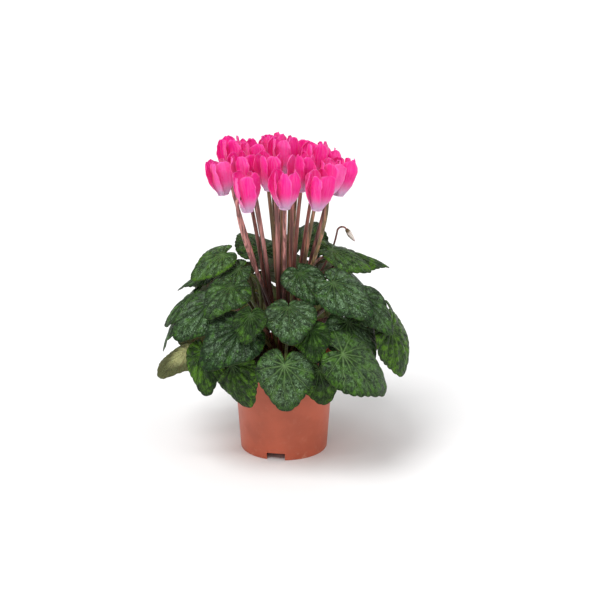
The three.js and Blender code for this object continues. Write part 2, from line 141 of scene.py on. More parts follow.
BUD_MOUTH, BUD_AZIMUTH, BUD_LEAN = (64, 22, 227), 100, -34
CROWN_BASE = 101 + GAP  # the corm's top


def srgb(code):
    """A linear colour from a hexadecimal one."""
    parts = [int(code[i : i + 2], 16) / 255 for i in (1, 3, 5)]
    return tuple(c / 12.92 if c < 0.04045 else ((c + 0.055) / 1.055) ** 2.4 for c in parts)


def shade(colour, factor):
    """A colour made darker or lighter."""
    return [min(1, c * factor) for c in colour]


def length(name, text, default):
    return FloatProperty(name=name, description=text, default=default, min=0, unit="LENGTH", precision=4)


def share(name, text, default, top=1.0):
    return FloatProperty(name=name, description=text, default=default, min=0, max=top)


def plain_number(name, text, default, least=0):
    return FloatProperty(name=name, description=text, default=default, min=least)


def colour(name, text, code):
    return FloatVectorProperty(
        name=name, description=text, default=srgb(code), min=0, max=1, size=3, subtype="COLOR"
    )


class PotSettings(bpy.types.PropertyGroup):
    height: length("Height", "From the foot to the rim", 0.105)
    rim_radius: length("Rim radius", "Outside of the rim", 0.0566)
    collar_height: length("Collar height", "Height of the band under the rim", 0.013)
    collar_step: length("Collar step", "How far the band stands out from the wall", 0.0032)
    neck_radius: length("Neck radius", "Outside of the wall under the band", 0.0514)
    foot_radius: length("Foot radius", "Outside of the foot ring", 0.0449)
    wall: length("Wall", "Thickness of the plastic", 0.0016)
    floor_height: length("Floor height", "The floor's underside above the table", 0.008)
    notch_width: length("Notch width", "Width of each gap in the foot ring", 0.019)
    plastic: colour("Plastic", "Terracotta plastic", "#bf5a3c")
    scuffed: colour("Scuffed plastic", "Where the plastic is rubbed or dusty", "#c98a6e")


class SoilSettings(bpy.types.PropertyGroup):
    top: length("Top", "Height of the soil at the pot's wall", 0.092)
    dish: length("Dish", "How much lower the middle is", 0.0025)
    crumb: length("Crumb", "Size of the largest crumbs", 0.0021)
    density: plain_number("Crumbs", "Crumbs on a square metre", 190000)
    peat: colour("Peat", "Moist soil", "#2c2018")
    fibre: colour("Fibre", "Dry crumbs and fibres", "#6b4d35")


class StalkSettings(bpy.types.PropertyGroup):
    leaf_radius: length("Leaf stalk radius", "Radius of the leaf stalks at the foot", 0.0017)
    flower_radius: length("Flower stalk radius", "Radius of the flower stalks at the foot", 0.0020)
    bud_radius: length("Bud stalk radius", "Radius of the bud's stalk", 0.0011)
    sides: IntProperty(name="Sides", description="Facets round a stalk", default=14, min=5)
    red: colour("Red", "Shaded foot of a stalk", "#3d1710")
    pink: colour("Pink", "Upper part of a flower stalk", "#a8695b")
    green: colour("Green", "Upper part of a leaf stalk", "#55602c")
    pale: colour("Pale", "Upper part of the lightest flower stalks", "#dc968f")


class LeafSettings(bpy.types.PropertyGroup):
    thickness: length("Thickness", "Thickness of the blade", 0.0006)
    quilting: length("Quilting", "How far the blade bulges between its veins", 0.0015)
    tooth: share("Teeth", "Depth of the edge's teeth, as a share of the way to the edge", 0.016, 0.1)
    teeth: IntProperty(name="Teeth", description="Number of teeth round the edge", default=30, min=0)
    deep: colour("Deep green", "Darkest green of a blade", "#122b0b")
    light: colour("Light green", "Lightest green of a blade", "#42701c")
    fresh: colour("Fresh green", "Yellowish green of a young blade", "#4f7a06")
    silver: colour("Silver", "Marbling", "#6c8766")
    vein: colour("Vein", "Palest veins", "#7b9c62")
    teal: colour("Teal", "Ground of a marbled blade", "#143521")
    pale_under: colour("Pale underside", "Underside of a young blade", "#c9cd8e")
    under: colour("Underside", "Underside of a blade", "#6f7d44")


class FlowerSettings(bpy.types.PropertyGroup):
    width: length("Petal width", "Widest part of a petal", 0.0168)
    thickness: length("Petal thickness", "Thickness of a petal", 0.0005)
    spread: FloatProperty(
        name="Spread", description="Angle between petals", default=math.radians(61), subtype="ANGLE"
    )
    ruffle: length("Ruffle", "How far a petal's edge waves", 0.0016)
    petal: colour("Petal", "Body of a petal", "#ff1890")
    bright: colour("Bright petal", "Lighter streaks and rims", "#ff68b2")
    # painted shade: a darker pink for the petals' folds and the tube's inside
    hollow: colour("Hollow", "Folds and the tube's inside", "#ea087e")
    mouth: colour("Mouth", "Pale foot of the petals", "#dba8cc")
    calyx: colour("Calyx", "Cap over the tube", "#6d5a34")


class StageSettings(bpy.types.PropertyGroup):
    floor: colour("Floor", "The floor's paint", "#fafafa")
    floor_size: length("Floor size", "Side of the floor", 30.0)
    sky: plain_number("Sky", "Strength of the light from all round", 0.62)
    key: plain_number("Key light", "Strength of the large soft light", 2.1)
    fill: plain_number("Fill light", "Strength of the light from the right", 0.5)
    lens: plain_number("Lens", "Focal length in millimetres", 94.12, 1)


SETTINGS = {
    "pot": PotSettings,
    "soil": SoilSettings,
    "stalks": StalkSettings,
    "leaves": LeafSettings,
    "flowers": FlowerSettings,
    "stage": StageSettings,
}


def settings(group):
    return getattr(bpy.context.scene, "cyclamen_" + group)


# ---- small helpers for meshes ----


def outward(azimuth):
    turn = math.radians(azimuth)
    return np.array([math.sin(turn), -math.cos(turn), 0.0])


def unit(v):
    return v / np.linalg.norm(v)


def rotated(v, axis, degrees):
    """A vector turned about a unit axis."""
    turn = math.radians(degrees)
    return v * math.cos(turn) + np.cross(axis, v) * math.sin(turn) + axis * (axis @ v) * (1 - math.cos(turn))


def linked(name, data):
    """A new object in the scene."""
    thing = bpy.data.objects.new(name, data)
    bpy.context.scene.collection.objects.link(thing)
    return thing


def store(thing, **numbers):
    """Keeps named numbers on a mesh: one for each vertex, or the same one for all."""
    for name, values in numbers.items():
        values = np.broadcast_to(values, len(thing.data.vertices)).astype(np.float32)
        thing.data.attributes.new(name, "FLOAT", "POINT").data.foreach_set("value", values)


def mesh_object(name, vertices, faces):
    """A smooth mesh object at the origin, from metres."""
    mesh = bpy.data.meshes.new(name)
    mesh.from_pydata([tuple(v) for v in vertices], [], [tuple(f) for f in faces])
    mesh.polygons.foreach_set("use_smooth", [True] * len(mesh.polygons))
    return linked(name, mesh)


def outside_out(thing):
    """Turns a closed mesh's faces outwards."""
    bm = bmesh.new()
    bm.from_mesh(thing.data)
    bmesh.ops.recalc_face_normals(bm, faces=bm.faces)
    bm.to_mesh(thing.data)
    bm.free()


def grid_faces(rows, columns, start=0, closed=True):
    """Quads between rows of vertices. Closed rows run all the way round."""
    last = columns if closed else columns - 1
    return [
        (start + r * columns + c, start + r * columns + (c + 1) % columns,
         start + (r + 1) * columns + (c + 1) % columns, start + (r + 1) * columns + c)
        for r in range(rows - 1) for c in range(last)
    ]


def lathe(name, profile, columns, shape, sharp=35):
    """Turns a profile of (radius, height) in metres about the axis. A radius of 0 is a closed pole.

    The columns are how many there are, or their angles. The shape moves each ring's points.
    """
    angles = columns if np.ndim(columns) else np.linspace(0, 2 * np.pi, columns, endpoint=False)
    count = len(angles)
    rings = [p for p in profile if p[0] > 0]
    points = []
    for row, (radius, height) in enumerate(rings):
        ring = np.stack([radius * np.sin(angles), -radius * np.cos(angles), np.full(count, float(height))], 1)
        points.append(shape(ring, row, angles))
    vertices = [tuple(v) for v in np.concatenate(points)]
    faces = grid_faces(len(rings), count)
    last = (len(rings) - 1) * count
    after = [(c + 1) % count for c in range(count)]
    for end, first in ((0, 0), (-1, last)):
        if profile[end][0] == 0:
            pole = len(vertices)
            vertices.append((0.0, 0.0, float(profile[end][1])))
            faces += [(pole, first + c, first + after[c]) for c in range(count)]
    if profile[0][0] > 0:
        faces += [(last + c, last + after[c], after[c], c) for c in range(count)]
    thing = mesh_object(name, vertices, faces)
    outside_out(thing)
    thing.data.set_sharp_from_angle(angle=math.radians(sharp))
    return thing


def evaluated_mesh(thing, name):
    """A plain mesh of an object and its one modifier, which is then removed."""
    thing.update_tag()
    bpy.context.view_layer.update()
    seen = bpy.context.evaluated_depsgraph_get()
    mesh = bpy.data.meshes.new_from_object(thing.evaluated_get(seen), depsgraph=seen)
    mesh.name = name
    thing.modifiers.clear()
    return mesh


def discard(*things):
    for thing in things:
        bpy.data.objects.remove(thing)


def hermite(x, knots, values):
    """A smooth curve through a few values."""
    slopes = np.gradient(values, knots)
    i = np.clip(np.searchsorted(knots, x) - 1, 0, len(knots) - 2)
    knots, values = np.asarray(knots, float), np.asarray(values, float)
    step = knots[i + 1] - knots[i]
    t = (x - knots[i]) / step
    return ((2 * t**3 - 3 * t**2 + 1) * values[i] + (t**3 - 2 * t**2 + t) * step * slopes[i]
            + (3 * t**2 - 2 * t**3) * values[i + 1] + (t**3 - t**2) * step * slopes[i + 1])


def rumple(points, size, seed):
    """Smooth noise at points, mostly between -1 and 1, from a few waves of about one size."""
    draw = np.random.default_rng(seed)
    total = np.zeros(len(points))
    for _ in range(9):
        wave = draw.normal(size=3) * 2.2 / size
        total += np.sin(points @ wave + draw.uniform(0, 2 * np.pi))
    return total / 4.5


def finish_piece(thing, slot, *nodes):
    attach(thing, "root")
    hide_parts(*nodes)


# ---- small helpers for node trees ----


class Tree:
    """Adds nodes to a tree. A value that is a socket is linked, and any other is set."""

    def __init__(self, tree):
        self.tree = tree

    def add(self, kind, inputs=None, **options):
        node = self.tree.nodes.new(kind)
        for key, value in options.items():
            setattr(node, key, value)
        for key, value in (inputs or {}).items():
            socket = node.inputs[key]
            if isinstance(value, bpy.types.NodeSocket):
                self.tree.links.new(value, socket)
            elif hasattr(value, "__len__") and not isinstance(value, str):
                socket.default_value = tuple(value) + (1.0,) * (len(socket.default_value) - len(value))
            else:
                socket.default_value = value
        return node

    def math(self, operation, *values, clamp=False):
        node = self.add("ShaderNodeMath", dict(enumerate(values)), operation=operation, use_clamp=clamp)
        return node.outputs[0]

    def times(self, a, b, clamp=False):
        return self.math("MULTIPLY", a, b, clamp=clamp)

    def plus(self, a, b):
        return self.math("ADD", a, b)

    def minus(self, a, b):
        return self.math("SUBTRACT", a, b)

    def most(self, a, b):
        return self.math("MAXIMUM", a, b)

    def swing(self, value, width):
        """A value between 0 and 1, as one that goes as far to both sides of 0."""
        return self.times(self.minus(value, 0.5), width)

    def ramp(self, value, low, high, to_low=0.0, to_high=1.0):
        """A smooth step of a value between two limits."""
        limits = {"Value": value, "From Min": low, "From Max": high, "To Min": to_low, "To Max": to_high}
        return self.add("ShaderNodeMapRange", limits, interpolation_type="SMOOTHSTEP").outputs[0]

    def mix(self, factor, a, b):
        """Mixes two colours."""
        return self.add("ShaderNodeMix", {0: factor, 6: a, 7: b}, data_type="RGBA").outputs[2]

    def tint(self, base, colour, value, low, high, most=1.0):
        """Mixes a colour in, more and more as a value goes from low to high."""
        return self.mix(self.ramp(value, low, high, 0.0, most), base, colour)

    def noise(self, where, scale, detail=3.0, roughness=0.55):
        values = {"Vector": where, "Scale": scale, "Detail": detail, "Roughness": roughness}
        return self.add("ShaderNodeTexNoise", values).outputs["Fac"]

    def cells(self, where, scale):
        """How far the nearest edge between irregular cells is."""
        values = {"Vector": where, "Scale": scale}
        return self.add("ShaderNodeTexVoronoi", values, feature="DISTANCE_TO_EDGE").outputs[0]

    def stretched(self, where, along):
        """Coordinates in which a pattern is drawn out along the height."""
        return self.add("ShaderNodeMapping", {"Vector": where, "Scale": (1.0, 1.0, along)}).outputs[0]

    def part(self, vector, index):
        return self.add("ShaderNodeSeparateXYZ", {0: vector}).outputs[index]

    def vector(self, x, y, z):
        return self.add("ShaderNodeCombineXYZ", {0: x, 1: y, 2: z}).outputs[0]

    def attributes(self, *names):
        """Numbers stored on a mesh, read in a material."""
        return [self.add("ShaderNodeAttribute", attribute_name=name).outputs["Fac"] for name in names]

    def named(self, name):
        """A number stored on a mesh, read in a geometry tree."""
        return self.add("GeometryNodeInputNamedAttribute", {"Name": name}, data_type="FLOAT").outputs[0]

    def keep(self, geometry, name, value, domain):
        """Stores a number on a geometry."""
        values = {"Geometry": geometry, "Name": name, "Value": value}
        return self.add("GeometryNodeStoreNamedAttribute", values, domain=domain).outputs[0]

    def chance(self, low, high, seed):
        """A random number, or a random vector, for each element."""
        kind, first, result = ("FLOAT_VECTOR", 0, 0) if isinstance(low, tuple) else ("FLOAT", 2, 1)
        limits = {first: low, first + 1: high, "Seed": seed}
        return self.add("FunctionNodeRandomValue", limits, data_type=kind).outputs[result]

    def place(self):
        return self.add("GeometryNodeInputPosition").outputs[0]

    def normal(self):
        return self.add("GeometryNodeInputNormal").outputs[0]

    def model(self, thing):
        """The geometry of another object."""
        return self.add("GeometryNodeObjectInfo", {"Object": thing}).outputs["Geometry"]

    def copies(self, points, shape, turn, size):
        values = {"Points": points, "Instance": shape, "Rotation": turn, "Scale": size}
        return self.add("GeometryNodeInstanceOnPoints", values).outputs[0]

    def push(self, geometry, way, amount):
        """Moves each point along a vector."""
        offset = self.add("ShaderNodeVectorMath", {0: way, "Scale": amount}, operation="SCALE").outputs[0]
        return self.add("GeometryNodeSetPosition", {"Geometry": geometry, "Offset": offset}).outputs[0]

    def join(self, *parts):
        both = self.add("GeometryNodeJoinGeometry")
        for part in parts:
            self.tree.links.new(part, both.inputs[0])
        return both.outputs[0]


def new_material(name, preview):
    material = bpy.data.materials.new(name)
    material.use_nodes = True
    material.diffuse_color = tuple(preview) + (1.0,)
    tree = Tree(material.node_tree)
    shader = next(n for n in material.node_tree.nodes if n.type == "BSDF_PRINCIPLED")
    where = tree.add("ShaderNodeTexCoord").outputs["Object"]
    return material, tree, shader, where


def dress(tree, shader, base, roughness, height, depth, strength=1.0):
    """Links the three things that vary over a surface: its colour, roughness and relief."""
    bump = tree.add("ShaderNodeBump", {"Height": height, "Distance": depth, "Strength": strength})
    for name, value in (("Base Color", base), ("Roughness", roughness), ("Normal", bump.outputs[0])):
        tree.tree.links.new(value, shader.inputs[name])


def node_group(name, *sockets):
    """A geometry tree with named inputs after its geometry. Each socket is (name, kind, default)."""
    group = bpy.data.node_groups.new(name, "GeometryNodeTree")
    face = group.interface
    face.new_socket("Geometry", in_out="INPUT", socket_type="NodeSocketGeometry")
    for label, kind, default in sockets:
        socket = face.new_socket(label, in_out="INPUT", socket_type="NodeSocket" + kind)
        if default is not None:
            socket.default_value = default
    face.new_socket("Geometry", in_out="OUTPUT", socket_type="NodeSocketGeometry")
    tree = Tree(group)
    return tree, tree.add("NodeGroupInput").outputs


def close_group(tree, geometry, material):
    """Ends a tree in real geometry with its material."""
    real = tree.add("GeometryNodeRealizeInstances", {0: geometry}).outputs[0]
    painted = tree.add("GeometryNodeSetMaterial", {"Geometry": real, "Material": material}).outputs[0]
    tree.tree.links.new(painted, tree.add("NodeGroupOutput").inputs[0])
    return tree.tree


def grown(thing, group, name, **values):
    """Runs a geometry tree on an object and returns its result as a plain mesh object."""
    modifier = thing.modifiers.new(group.name, "NODES")
    modifier.node_group = group
    keys = {item.name: item.identifier for item in group.interface.items_tree if item.in_out == "INPUT"}
    for label, value in values.items():
        modifier[keys[label.capitalize()]] = value
    return linked(name, evaluated_mesh(thing, name))


# ---- pot, soil and corm ----


def pot_wall():
    """The height of the wall's top, how much the wall widens per metre, and its outer radius at a height."""
    pot = settings("pot")
    neck = pot.height - pot.collar_height
    slope = (pot.neck_radius - pot.foot_radius) / neck
    return neck, slope, lambda z: pot.foot_radius + slope * z


def plastic_material():
    chosen = settings("pot")
    turning_mark = 0.0011
    material, tree, shader, where = new_material("terracotta_plastic", chosen.plastic)
    cloud = tree.noise(where, 28, 4)
    speck = tree.noise(where, 900, 2, 0.7)
    height = tree.part(where, 2)
    low = tree.ramp(height, 0.012, 0.0)
    rub = tree.times(tree.ramp(tree.noise(where, 160, 5, 0.7), 0.52, 0.75), tree.plus(low, 0.18))
    warm = tree.tint(chosen.plastic, shade(chosen.plastic, 0.82), cloud, 0.35, 0.68)
    base = tree.mix(tree.times(rub, 0.8, clamp=True), warm, chosen.scuffed)
    base = tree.tint(base, shade(chosen.plastic, 0.5), speck, 0.68, 0.8, 0.25)
    rings = tree.math("SINE", tree.times(height, 2 * math.pi / turning_mark))
    relief = tree.plus(tree.times(rings, 0.12), speck)
    dress(tree, shader, base, tree.ramp(cloud, 0.2, 0.8, 0.36, 0.52), relief, 0.00012, 0.5)
    return material


def pot_profile():
    """The pot's section from the middle of its underside round to the middle of its floor.

    Also the number of the first row of its foot ring, and how many rows that has.
    """
    pot = settings("pot")
    neck, _, outer = pot_wall()
    wall, rim, foot, top = pot.wall, pot.rim_radius, pot.foot_radius, pot.height
    collar = pot.neck_radius + pot.collar_step
    under_floor, floor = pot.floor_height, pot.floor_height + wall
    soft = 0.0005  # rounding of edges
    flat = (0.034, 0.02, 0)  # radii of the floor's rows
    hollow, inner_foot, band = outer(under_floor) - wall, foot - wall, top - 2.4 * soft - neck

    profile = [(r, under_floor) for r in flat[::-1]]
    profile += [(hollow - soft, under_floor), (hollow, under_floor - 0.3 * soft)]
    ring = [(inner_foot + 0.1 * soft, 0.8 * soft), (inner_foot + 0.6 * soft, 0.1 * soft),
            (inner_foot + 1.2 * soft, 0), (foot - 1.2 * soft, 0), (foot - 0.4 * soft, 0.2 * soft),
            (outer(soft), soft)]
    first_row = len(profile) - 1  # the pole isn't a row
    profile += ring
    profile += [(outer(z), z) for z in np.linspace(0.009, neck - 0.003, 9)]
    # the collar's step and the lip
    profile += [(outer(neck) + 0.0002, neck - 0.0008), (outer(neck) + 0.0009, neck - 0.0002),
                (collar - soft, neck), (collar - 0.2 * soft, neck + 0.3 * soft), (collar, neck + soft)]
    profile += [(collar + (rim - collar) * t, neck + soft + band * t) for t in (0.33, 0.66, 1)]
    profile += [(rim - 0.4 * soft, top - 0.4 * soft), (rim - 1.4 * soft, top), (rim - wall + 1.0 * soft, top),
                (rim - wall, top - soft)]
    # and down inside
    profile += [(collar - wall, neck + wall + soft), (collar - wall - soft, neck + wall),
                (outer(neck) - wall, neck + wall - soft)]
    profile += [(outer(z) - wall, z) for z in np.linspace(neck - 0.004, floor + 2 * soft, 7)]
    profile += [(outer(floor) - wall - 2 * soft, floor)] + [(r, floor) for r in flat]
    return profile, first_row, len(ring)


def angle_between(a, b):
    return np.abs((a - b + math.pi) % (2 * math.pi) - math.pi)


def drain_drills(floor):
    """Pegs that stand where the drain holes go."""
    holes, distance, radius = 6, 0.026, 0.0045
    peg = {"cap_ends": True, "segments": 32, "radius1": radius, "radius2": radius, "depth": 0.01}
    bm = bmesh.new()
    for k in range(holes):
        foot = Vector(outward(360 / holes * (k + 0.5)) * distance)
        bmesh.ops.create_cone(bm, matrix=Matrix.Translation(foot + Vector((0, 0, floor))), **peg)
    mesh = bpy.data.meshes.new("drain_drills")
    bm.to_mesh(mesh)
    bm.free()
    return linked("drain_drills", mesh)


def wall_columns(middles, half):
    """Angles round the pot, close together at the notches' corners and evenly spaced between them."""
    near, kept_clear, spacing = (-0.0004, 0.0, 0.004, 0.010, 0.018, 0.03), 0.036, 2.5
    corners = [m + s * (half - d) for m in middles for s in (-1, 1) for d in near]
    plain = [a for a in np.radians(np.arange(0, 360, spacing))
             if min(abs(angle_between(a, m) - half) for m in middles) > kept_clear]
    return np.sort(np.mod(corners + plain, 2 * math.pi))


class CYCLAMEN_OT_pot(bpy.types.Operator):
    """Turns the tapered nursery pot, with its collar, notched foot ring and drain holes"""

    bl_idname = "cyclamen.pot"
    bl_label = "Pot"

    def execute(self, context):
        pot = settings("pot")
        slope, foot = pot_wall()[1], pot.foot_radius
        profile, first_row, row_count = pot_profile()
        half = math.asin(0.5 * pot.notch_width / foot)
        middles = [math.radians(FIRST_NOTCH + 360 / NOTCHES * k) for k in range(NOTCHES)]
        gap_top, corner = 0.0074, 0.0012  # height of a notch and the rounding of its corners

        def notched(ring, row, angles):
            if not first_row <= row < first_row + row_count:
                return ring
            off = np.min([angle_between(angles, m) for m in middles], axis=0)
            into = (half - off) * foot
            rounded = np.sqrt(np.maximum(0, corner**2 - (corner - np.clip(into, 0, corner)) ** 2))
            lift = np.where(into < -1e-6, 0, gap_top - corner + rounded)
            radius = np.linalg.norm(ring[:, :2], axis=1)
            ring[:, :2] *= ((radius + slope * lift) / radius)[:, None]
            ring[:, 2] += lift
            return ring

        shell = lathe("pot_shell", profile, wall_columns(middles, half), notched)
        drills = drain_drills(pot.floor_height + pot.wall)
        cut = shell.modifiers.new("drains", "BOOLEAN")
        cut.object, cut.operation, cut.solver = drills, "DIFFERENCE", "EXACT"
        shell.data = evaluated_mesh(shell, "pot_shell")
        discard(drills)
        shell.data.materials.clear()
        shell.data.materials.append(plastic_material())
        shell.data.set_sharp_from_angle(angle=math.radians(35))
        finish_piece(shell, "pot", "pot")
        return {"FINISHED"}


def soil_material():
    chosen = settings("soil")
    material, tree, shader, where = new_material("potting_soil", chosen.peat)
    clump = tree.noise(where, 240, 5, 0.65)
    fine = tree.noise(where, 1500, 3, 0.7)
    base = tree.tint(chosen.peat, shade(chosen.peat, 0.45), clump, 0.42, 0.72)
    base = tree.tint(base, chosen.fibre, fine, 0.6, 0.75, 0.8)
    relief = tree.plus(clump, tree.times(fine, 0.4))
    dress(tree, shader, base, tree.ramp(clump, 0.3, 0.7, 0.8, 0.98), relief, 0.0012)
    return material


def crumb_tree():
    """Scatters irregular crumbs over the upward faces of the soil."""
    tree, given = node_group(
        "soil_crumbs", ("Density", "Float", 190000.0), ("Crumb", "Float", 0.002), ("Seed", "Int", 4),
        ("Material", "Material", None),
    )
    picked = tree.times(tree.math("GREATER_THAN", tree.part(tree.normal(), 2), 0.5), tree.named("open_air"))
    ground = given["Geometry"]
    spread = {"Mesh": ground, "Selection": picked, "Density": given["Density"], "Seed": given["Seed"]}
    points = tree.add("GeometryNodeDistributePointsOnFaces", spread).outputs[0]
    turn = tree.chance((0, 0, 0), (6.28, 6.28, 6.28), 0)
    size = tree.chance((0.2, 0.25, 0.15), (1.0, 0.7, 0.6), 9)
    crumb = tree.add("GeometryNodeMeshIcoSphere", {"Radius": given["Crumb"], "Subdivisions": 1}).outputs[0]
    both = tree.join(tree.copies(points, crumb, turn, size), ground)
    return close_group(tree, both, given["Material"])


class CYCLAMEN_OT_soil(bpy.types.Operator):
    """Fills the pot with crumbly soil, with a socket for the corm"""

    bl_idname = "cyclamen.soil"
    bl_label = "Soil"

    def execute(self, context):
        soil, pot = settings("soil"), settings("pot")
        outer = pot_wall()[2]
        bottom = pot.floor_height + pot.wall + CLEARANCE
        socket, mouth, corner, ring_step = CORM_RADIUS + CLEARANCE, 0.0268, 0.0014, 0.0011
        top, low = soil.top, soil.top - soil.dish

        def inner(z):
            return outer(z) - pot.wall - CLEARANCE

        profile = [(0, bottom), (0.02, bottom), (inner(bottom) - corner, bottom),
                   (inner(bottom + corner), bottom + corner), (inner(0.05), 0.05), (inner(top), top)]
        first_open, open_rows = len(profile), 22
        profile += [(inner(top) - (inner(top) - mouth) * t, top - soil.dish * min(1, 1.6 * t))
                    for t in np.linspace(0.03, 1, open_rows)]
        # the socket's wall, and its floor under the corm
        profile += [(socket, low - 0.0012), (socket, 0.084), (0.0258, 0.0812), (0.0223, 0.0768),
                    (0.62 * socket, 0.0721), (0.0086, 0.0708), (0, 0.0704)]

        def lumps(ring, row, angles):
            if first_open - 1 <= row < first_open + open_rows - 1:
                depth = 0.0011 if row >= first_open else 0.0003
                ring[:, 2] += depth * rumple(ring, 0.009, 3) + 0.5 * depth * rumple(ring, 0.0035, 5)
            return ring

        bed = lathe("soil_body", profile, 120, lumps, sharp=60)
        heights = np.array([v.co.z for v in bed.data.vertices])
        radii = np.array([math.hypot(v.co.x, v.co.y) for v in bed.data.vertices])
        clear = soil.crumb + ring_step  # crumbs keep off the pot and the corm
        beside = (radii > socket + clear) & (radii < inner(top) - clear)
        store(bed, open_air=(heights > low - 0.002) & beside)
        crumbly = grown(bed, crumb_tree(), "soil_bed", density=soil.density, crumb=soil.crumb, seed=4,
                        material=soil_material())
        discard(bed)
        finish_piece(crumbly, "soil", "soil")
        return {"FINISHED"}


def cork_material():
    material, tree, shader, where = new_material("corky_skin", srgb("#5b4030"))
    crack = tree.cells(where, 260)
    cloud = tree.noise(where, 120, 5, 0.6)
    base = tree.tint(srgb("#6d4c38"), srgb("#3d2a1e"), cloud, 0.35, 0.65)
    base = tree.mix(tree.ramp(crack, 0.0, 0.12, 0.7, 0.0), base, srgb("#1d130d"))
    relief = tree.plus(tree.ramp(crack, 0.0, 0.2), tree.times(cloud, 0.6))
    dress(tree, shader, base, tree.ramp(cloud, 0.3, 0.7, 0.7, 0.95), relief, 0.0006)
    return material


class CYCLAMEN_OT_corm(bpy.types.Operator):
    """Sets the corm that every stalk grows from"""

    bl_idname = "cyclamen.corm"
    bl_label = "Corm"

    def execute(self, context):
        heights = [71, 71.4, 72.5, 77, 81.5, 85, 88.5, 91.5, 95.5, 98.8, 100.6, 101, 101, 101]
        radii = [0, 8, 15.5, 21.3, 25, 25.8, 25.7, 25.1, 23.6, 21.8, 20.2, 17, 9, 0]
        profile = [(r * MM, z * MM) for r, z in zip(radii, heights)]

        bumpy_rows, depth = range(1, 9), 0.012

        def bumps(ring, row, angles):
            if row in bumpy_rows:
                ring[:, :2] *= (1 + depth * rumple(ring, 0.008, 7) - depth)[:, None]
            return ring

        corm = lathe("corm_bulb", profile, 96, bumps, sharp=60)
        corm.data.materials.append(cork_material())
        finish_piece(corm, "corm", "corm")
        return {"FINISHED"}


# ---- leaves ----


def heart(angle):
    """How far a blade's edge is from the joint, as a share of the way to the tip, which is at 0."""
    tip = 0.26 * np.exp(-((angle / 0.36) ** 2))
    sinus = 0.24 * np.exp(-(((np.pi - np.abs(angle)) / 0.28) ** 2))
    return 0.52 + 0.22 * np.cos(angle) + tip - sinus


class LeafPlace:
    """A blade's own axes in millimetres: the joint, and the ways to the tip, to the side and up."""

    def __init__(self, azimuth, polar, size, turn, pitch, roll, lift):
        sine, cosine = math.sin(math.radians(polar)), math.cos(math.radians(polar))
        away = outward(azimuth)
        centre = away * DOME_RADIUS * sine + np.array([0, 0, DOME_CENTRE + DOME_RISE * cosine])
        down = unit(away * DOME_RADIUS * cosine - np.array([0, 0, DOME_RISE * sine]))
        normal = np.cross(down, np.array([-away[1], away[0], 0]))
        centre = centre + normal * lift
        tip = rotated(down, normal, turn)
        hinge = np.cross(normal, tip)
        up, tip = rotated(normal, hinge, -pitch), rotated(tip, hinge, -pitch)
        self.up = rotated(up, tip, roll)
        self.tip = tip
        self.side = np.cross(self.up, tip)
        self.reach = POLE_SHARE * size
        self.to_centre = self.reach - size / 2
        self.joint = centre - tip * self.to_centre

    def point(self, along, across, raised):
        """A point of the blade, which droops away from the joint."""
        droop = ((along - self.to_centre) ** 2 - self.to_centre**2) / (2 * LENGTH_BEND)
        droop = droop + across**2 / (2 * CROSS_BEND)
        return (self.joint + np.multiply.outer(along, self.tip) + np.multiply.outer(across, self.side)
                + np.multiply.outer(raised - droop, self.up))


def vein_lines(out):
    """Angles of the main and side veins on one half of a blade, at shares of the way to the edge."""
    mains = [start * (1 - loss * out) for start, loss in MAIN_VEINS]
    sides = []
    for k, leaves, gain in SIDE_VEINS:
        past = np.clip((out - leaves) / (1 - leaves), 0, 1)
        sides.append(mains[k] + gain * past**0.8)
    return mains, sides


def vein_marks(tree, turn, out, arm):
    """How near the closest vein is, 1 on it, and the same for a wider line along the main veins."""
    narrow = tree.ramp(out, 0.1, 1.0, 1.0, 0.45)

    def lines(angles, width):
        marks = []
        for angle in angles:
            near = tree.math("DIVIDE", tree.times(tree.minus(turn, angle), arm), tree.times(narrow, width))
            marks.append(tree.math("EXPONENT", tree.times(tree.times(near, near), -1.0)))
        return functools.reduce(tree.most, marks)

    mains = [tree.times(tree.minus(1.0, tree.times(out, loss)), start) for start, loss in MAIN_VEINS]
    sides = []
    for k, leaves, gain in SIDE_VEINS:
        past = tree.math("DIVIDE", tree.minus(out, leaves), 1 - leaves, clamp=True)
        sides.append(tree.math("MULTIPLY_ADD", tree.math("POWER", past, 0.8), gain, mains[k]))
    veins = tree.most(lines(mains, 0.00085), tree.times(lines(sides, 0.0006), 0.75))
    return veins, lines(mains, 0.0026)


def leaf_green(tree, where, cloud, mottle, tone, silver, fresh):
    """A blade's upper green, mottled with darker and lighter patches."""
    chosen = settings("leaves")
    green = tree.mix(tone, chosen.deep, chosen.light)
    green = tree.mix(tree.times(silver, 0.6), green, chosen.teal)
    green = tree.mix(tree.times(fresh, tree.ramp(cloud, 0.3, 0.7, 0.55, 1.0)), green, chosen.fresh)
    green = tree.mix(tree.ramp(cloud, 0.38, 0.6, 0.75, 0.0), green, shade(chosen.deep, 0.4))
    green = tree.mix(tree.ramp(mottle, 0.4, 0.6, 0.85, 0.0), green, shade(chosen.deep, 0.5))
    flush = tree.times(tree.ramp(tree.noise(where, 115, 5, 0.62), 0.5, 0.64), 0.7)
    return tree.mix(flush, green, tree.mix(fresh, chosen.light, shade(chosen.fresh, 1.25)))


def leaf_underside(tree, out, cloud, fresh, veins):
    """A blade's paler underside, darker towards its edge, with red-brown veins."""
    chosen = settings("leaves")
    young = tree.ramp(fresh, 0.5, 0.7)
    below = tree.mix(young, chosen.under, chosen.pale_under)
    outer = tree.most(tree.ramp(cloud, 0.3, 0.7, 0.0, 0.3), tree.ramp(out, 0.3, 0.75, 0.0, 0.85))
    below = tree.mix(outer, below, shade(chosen.under, 0.35))
    brown = tree.times(veins, tree.minus(0.6, tree.times(young, 0.45)))
    return tree.mix(brown, below, srgb("#74402f"))


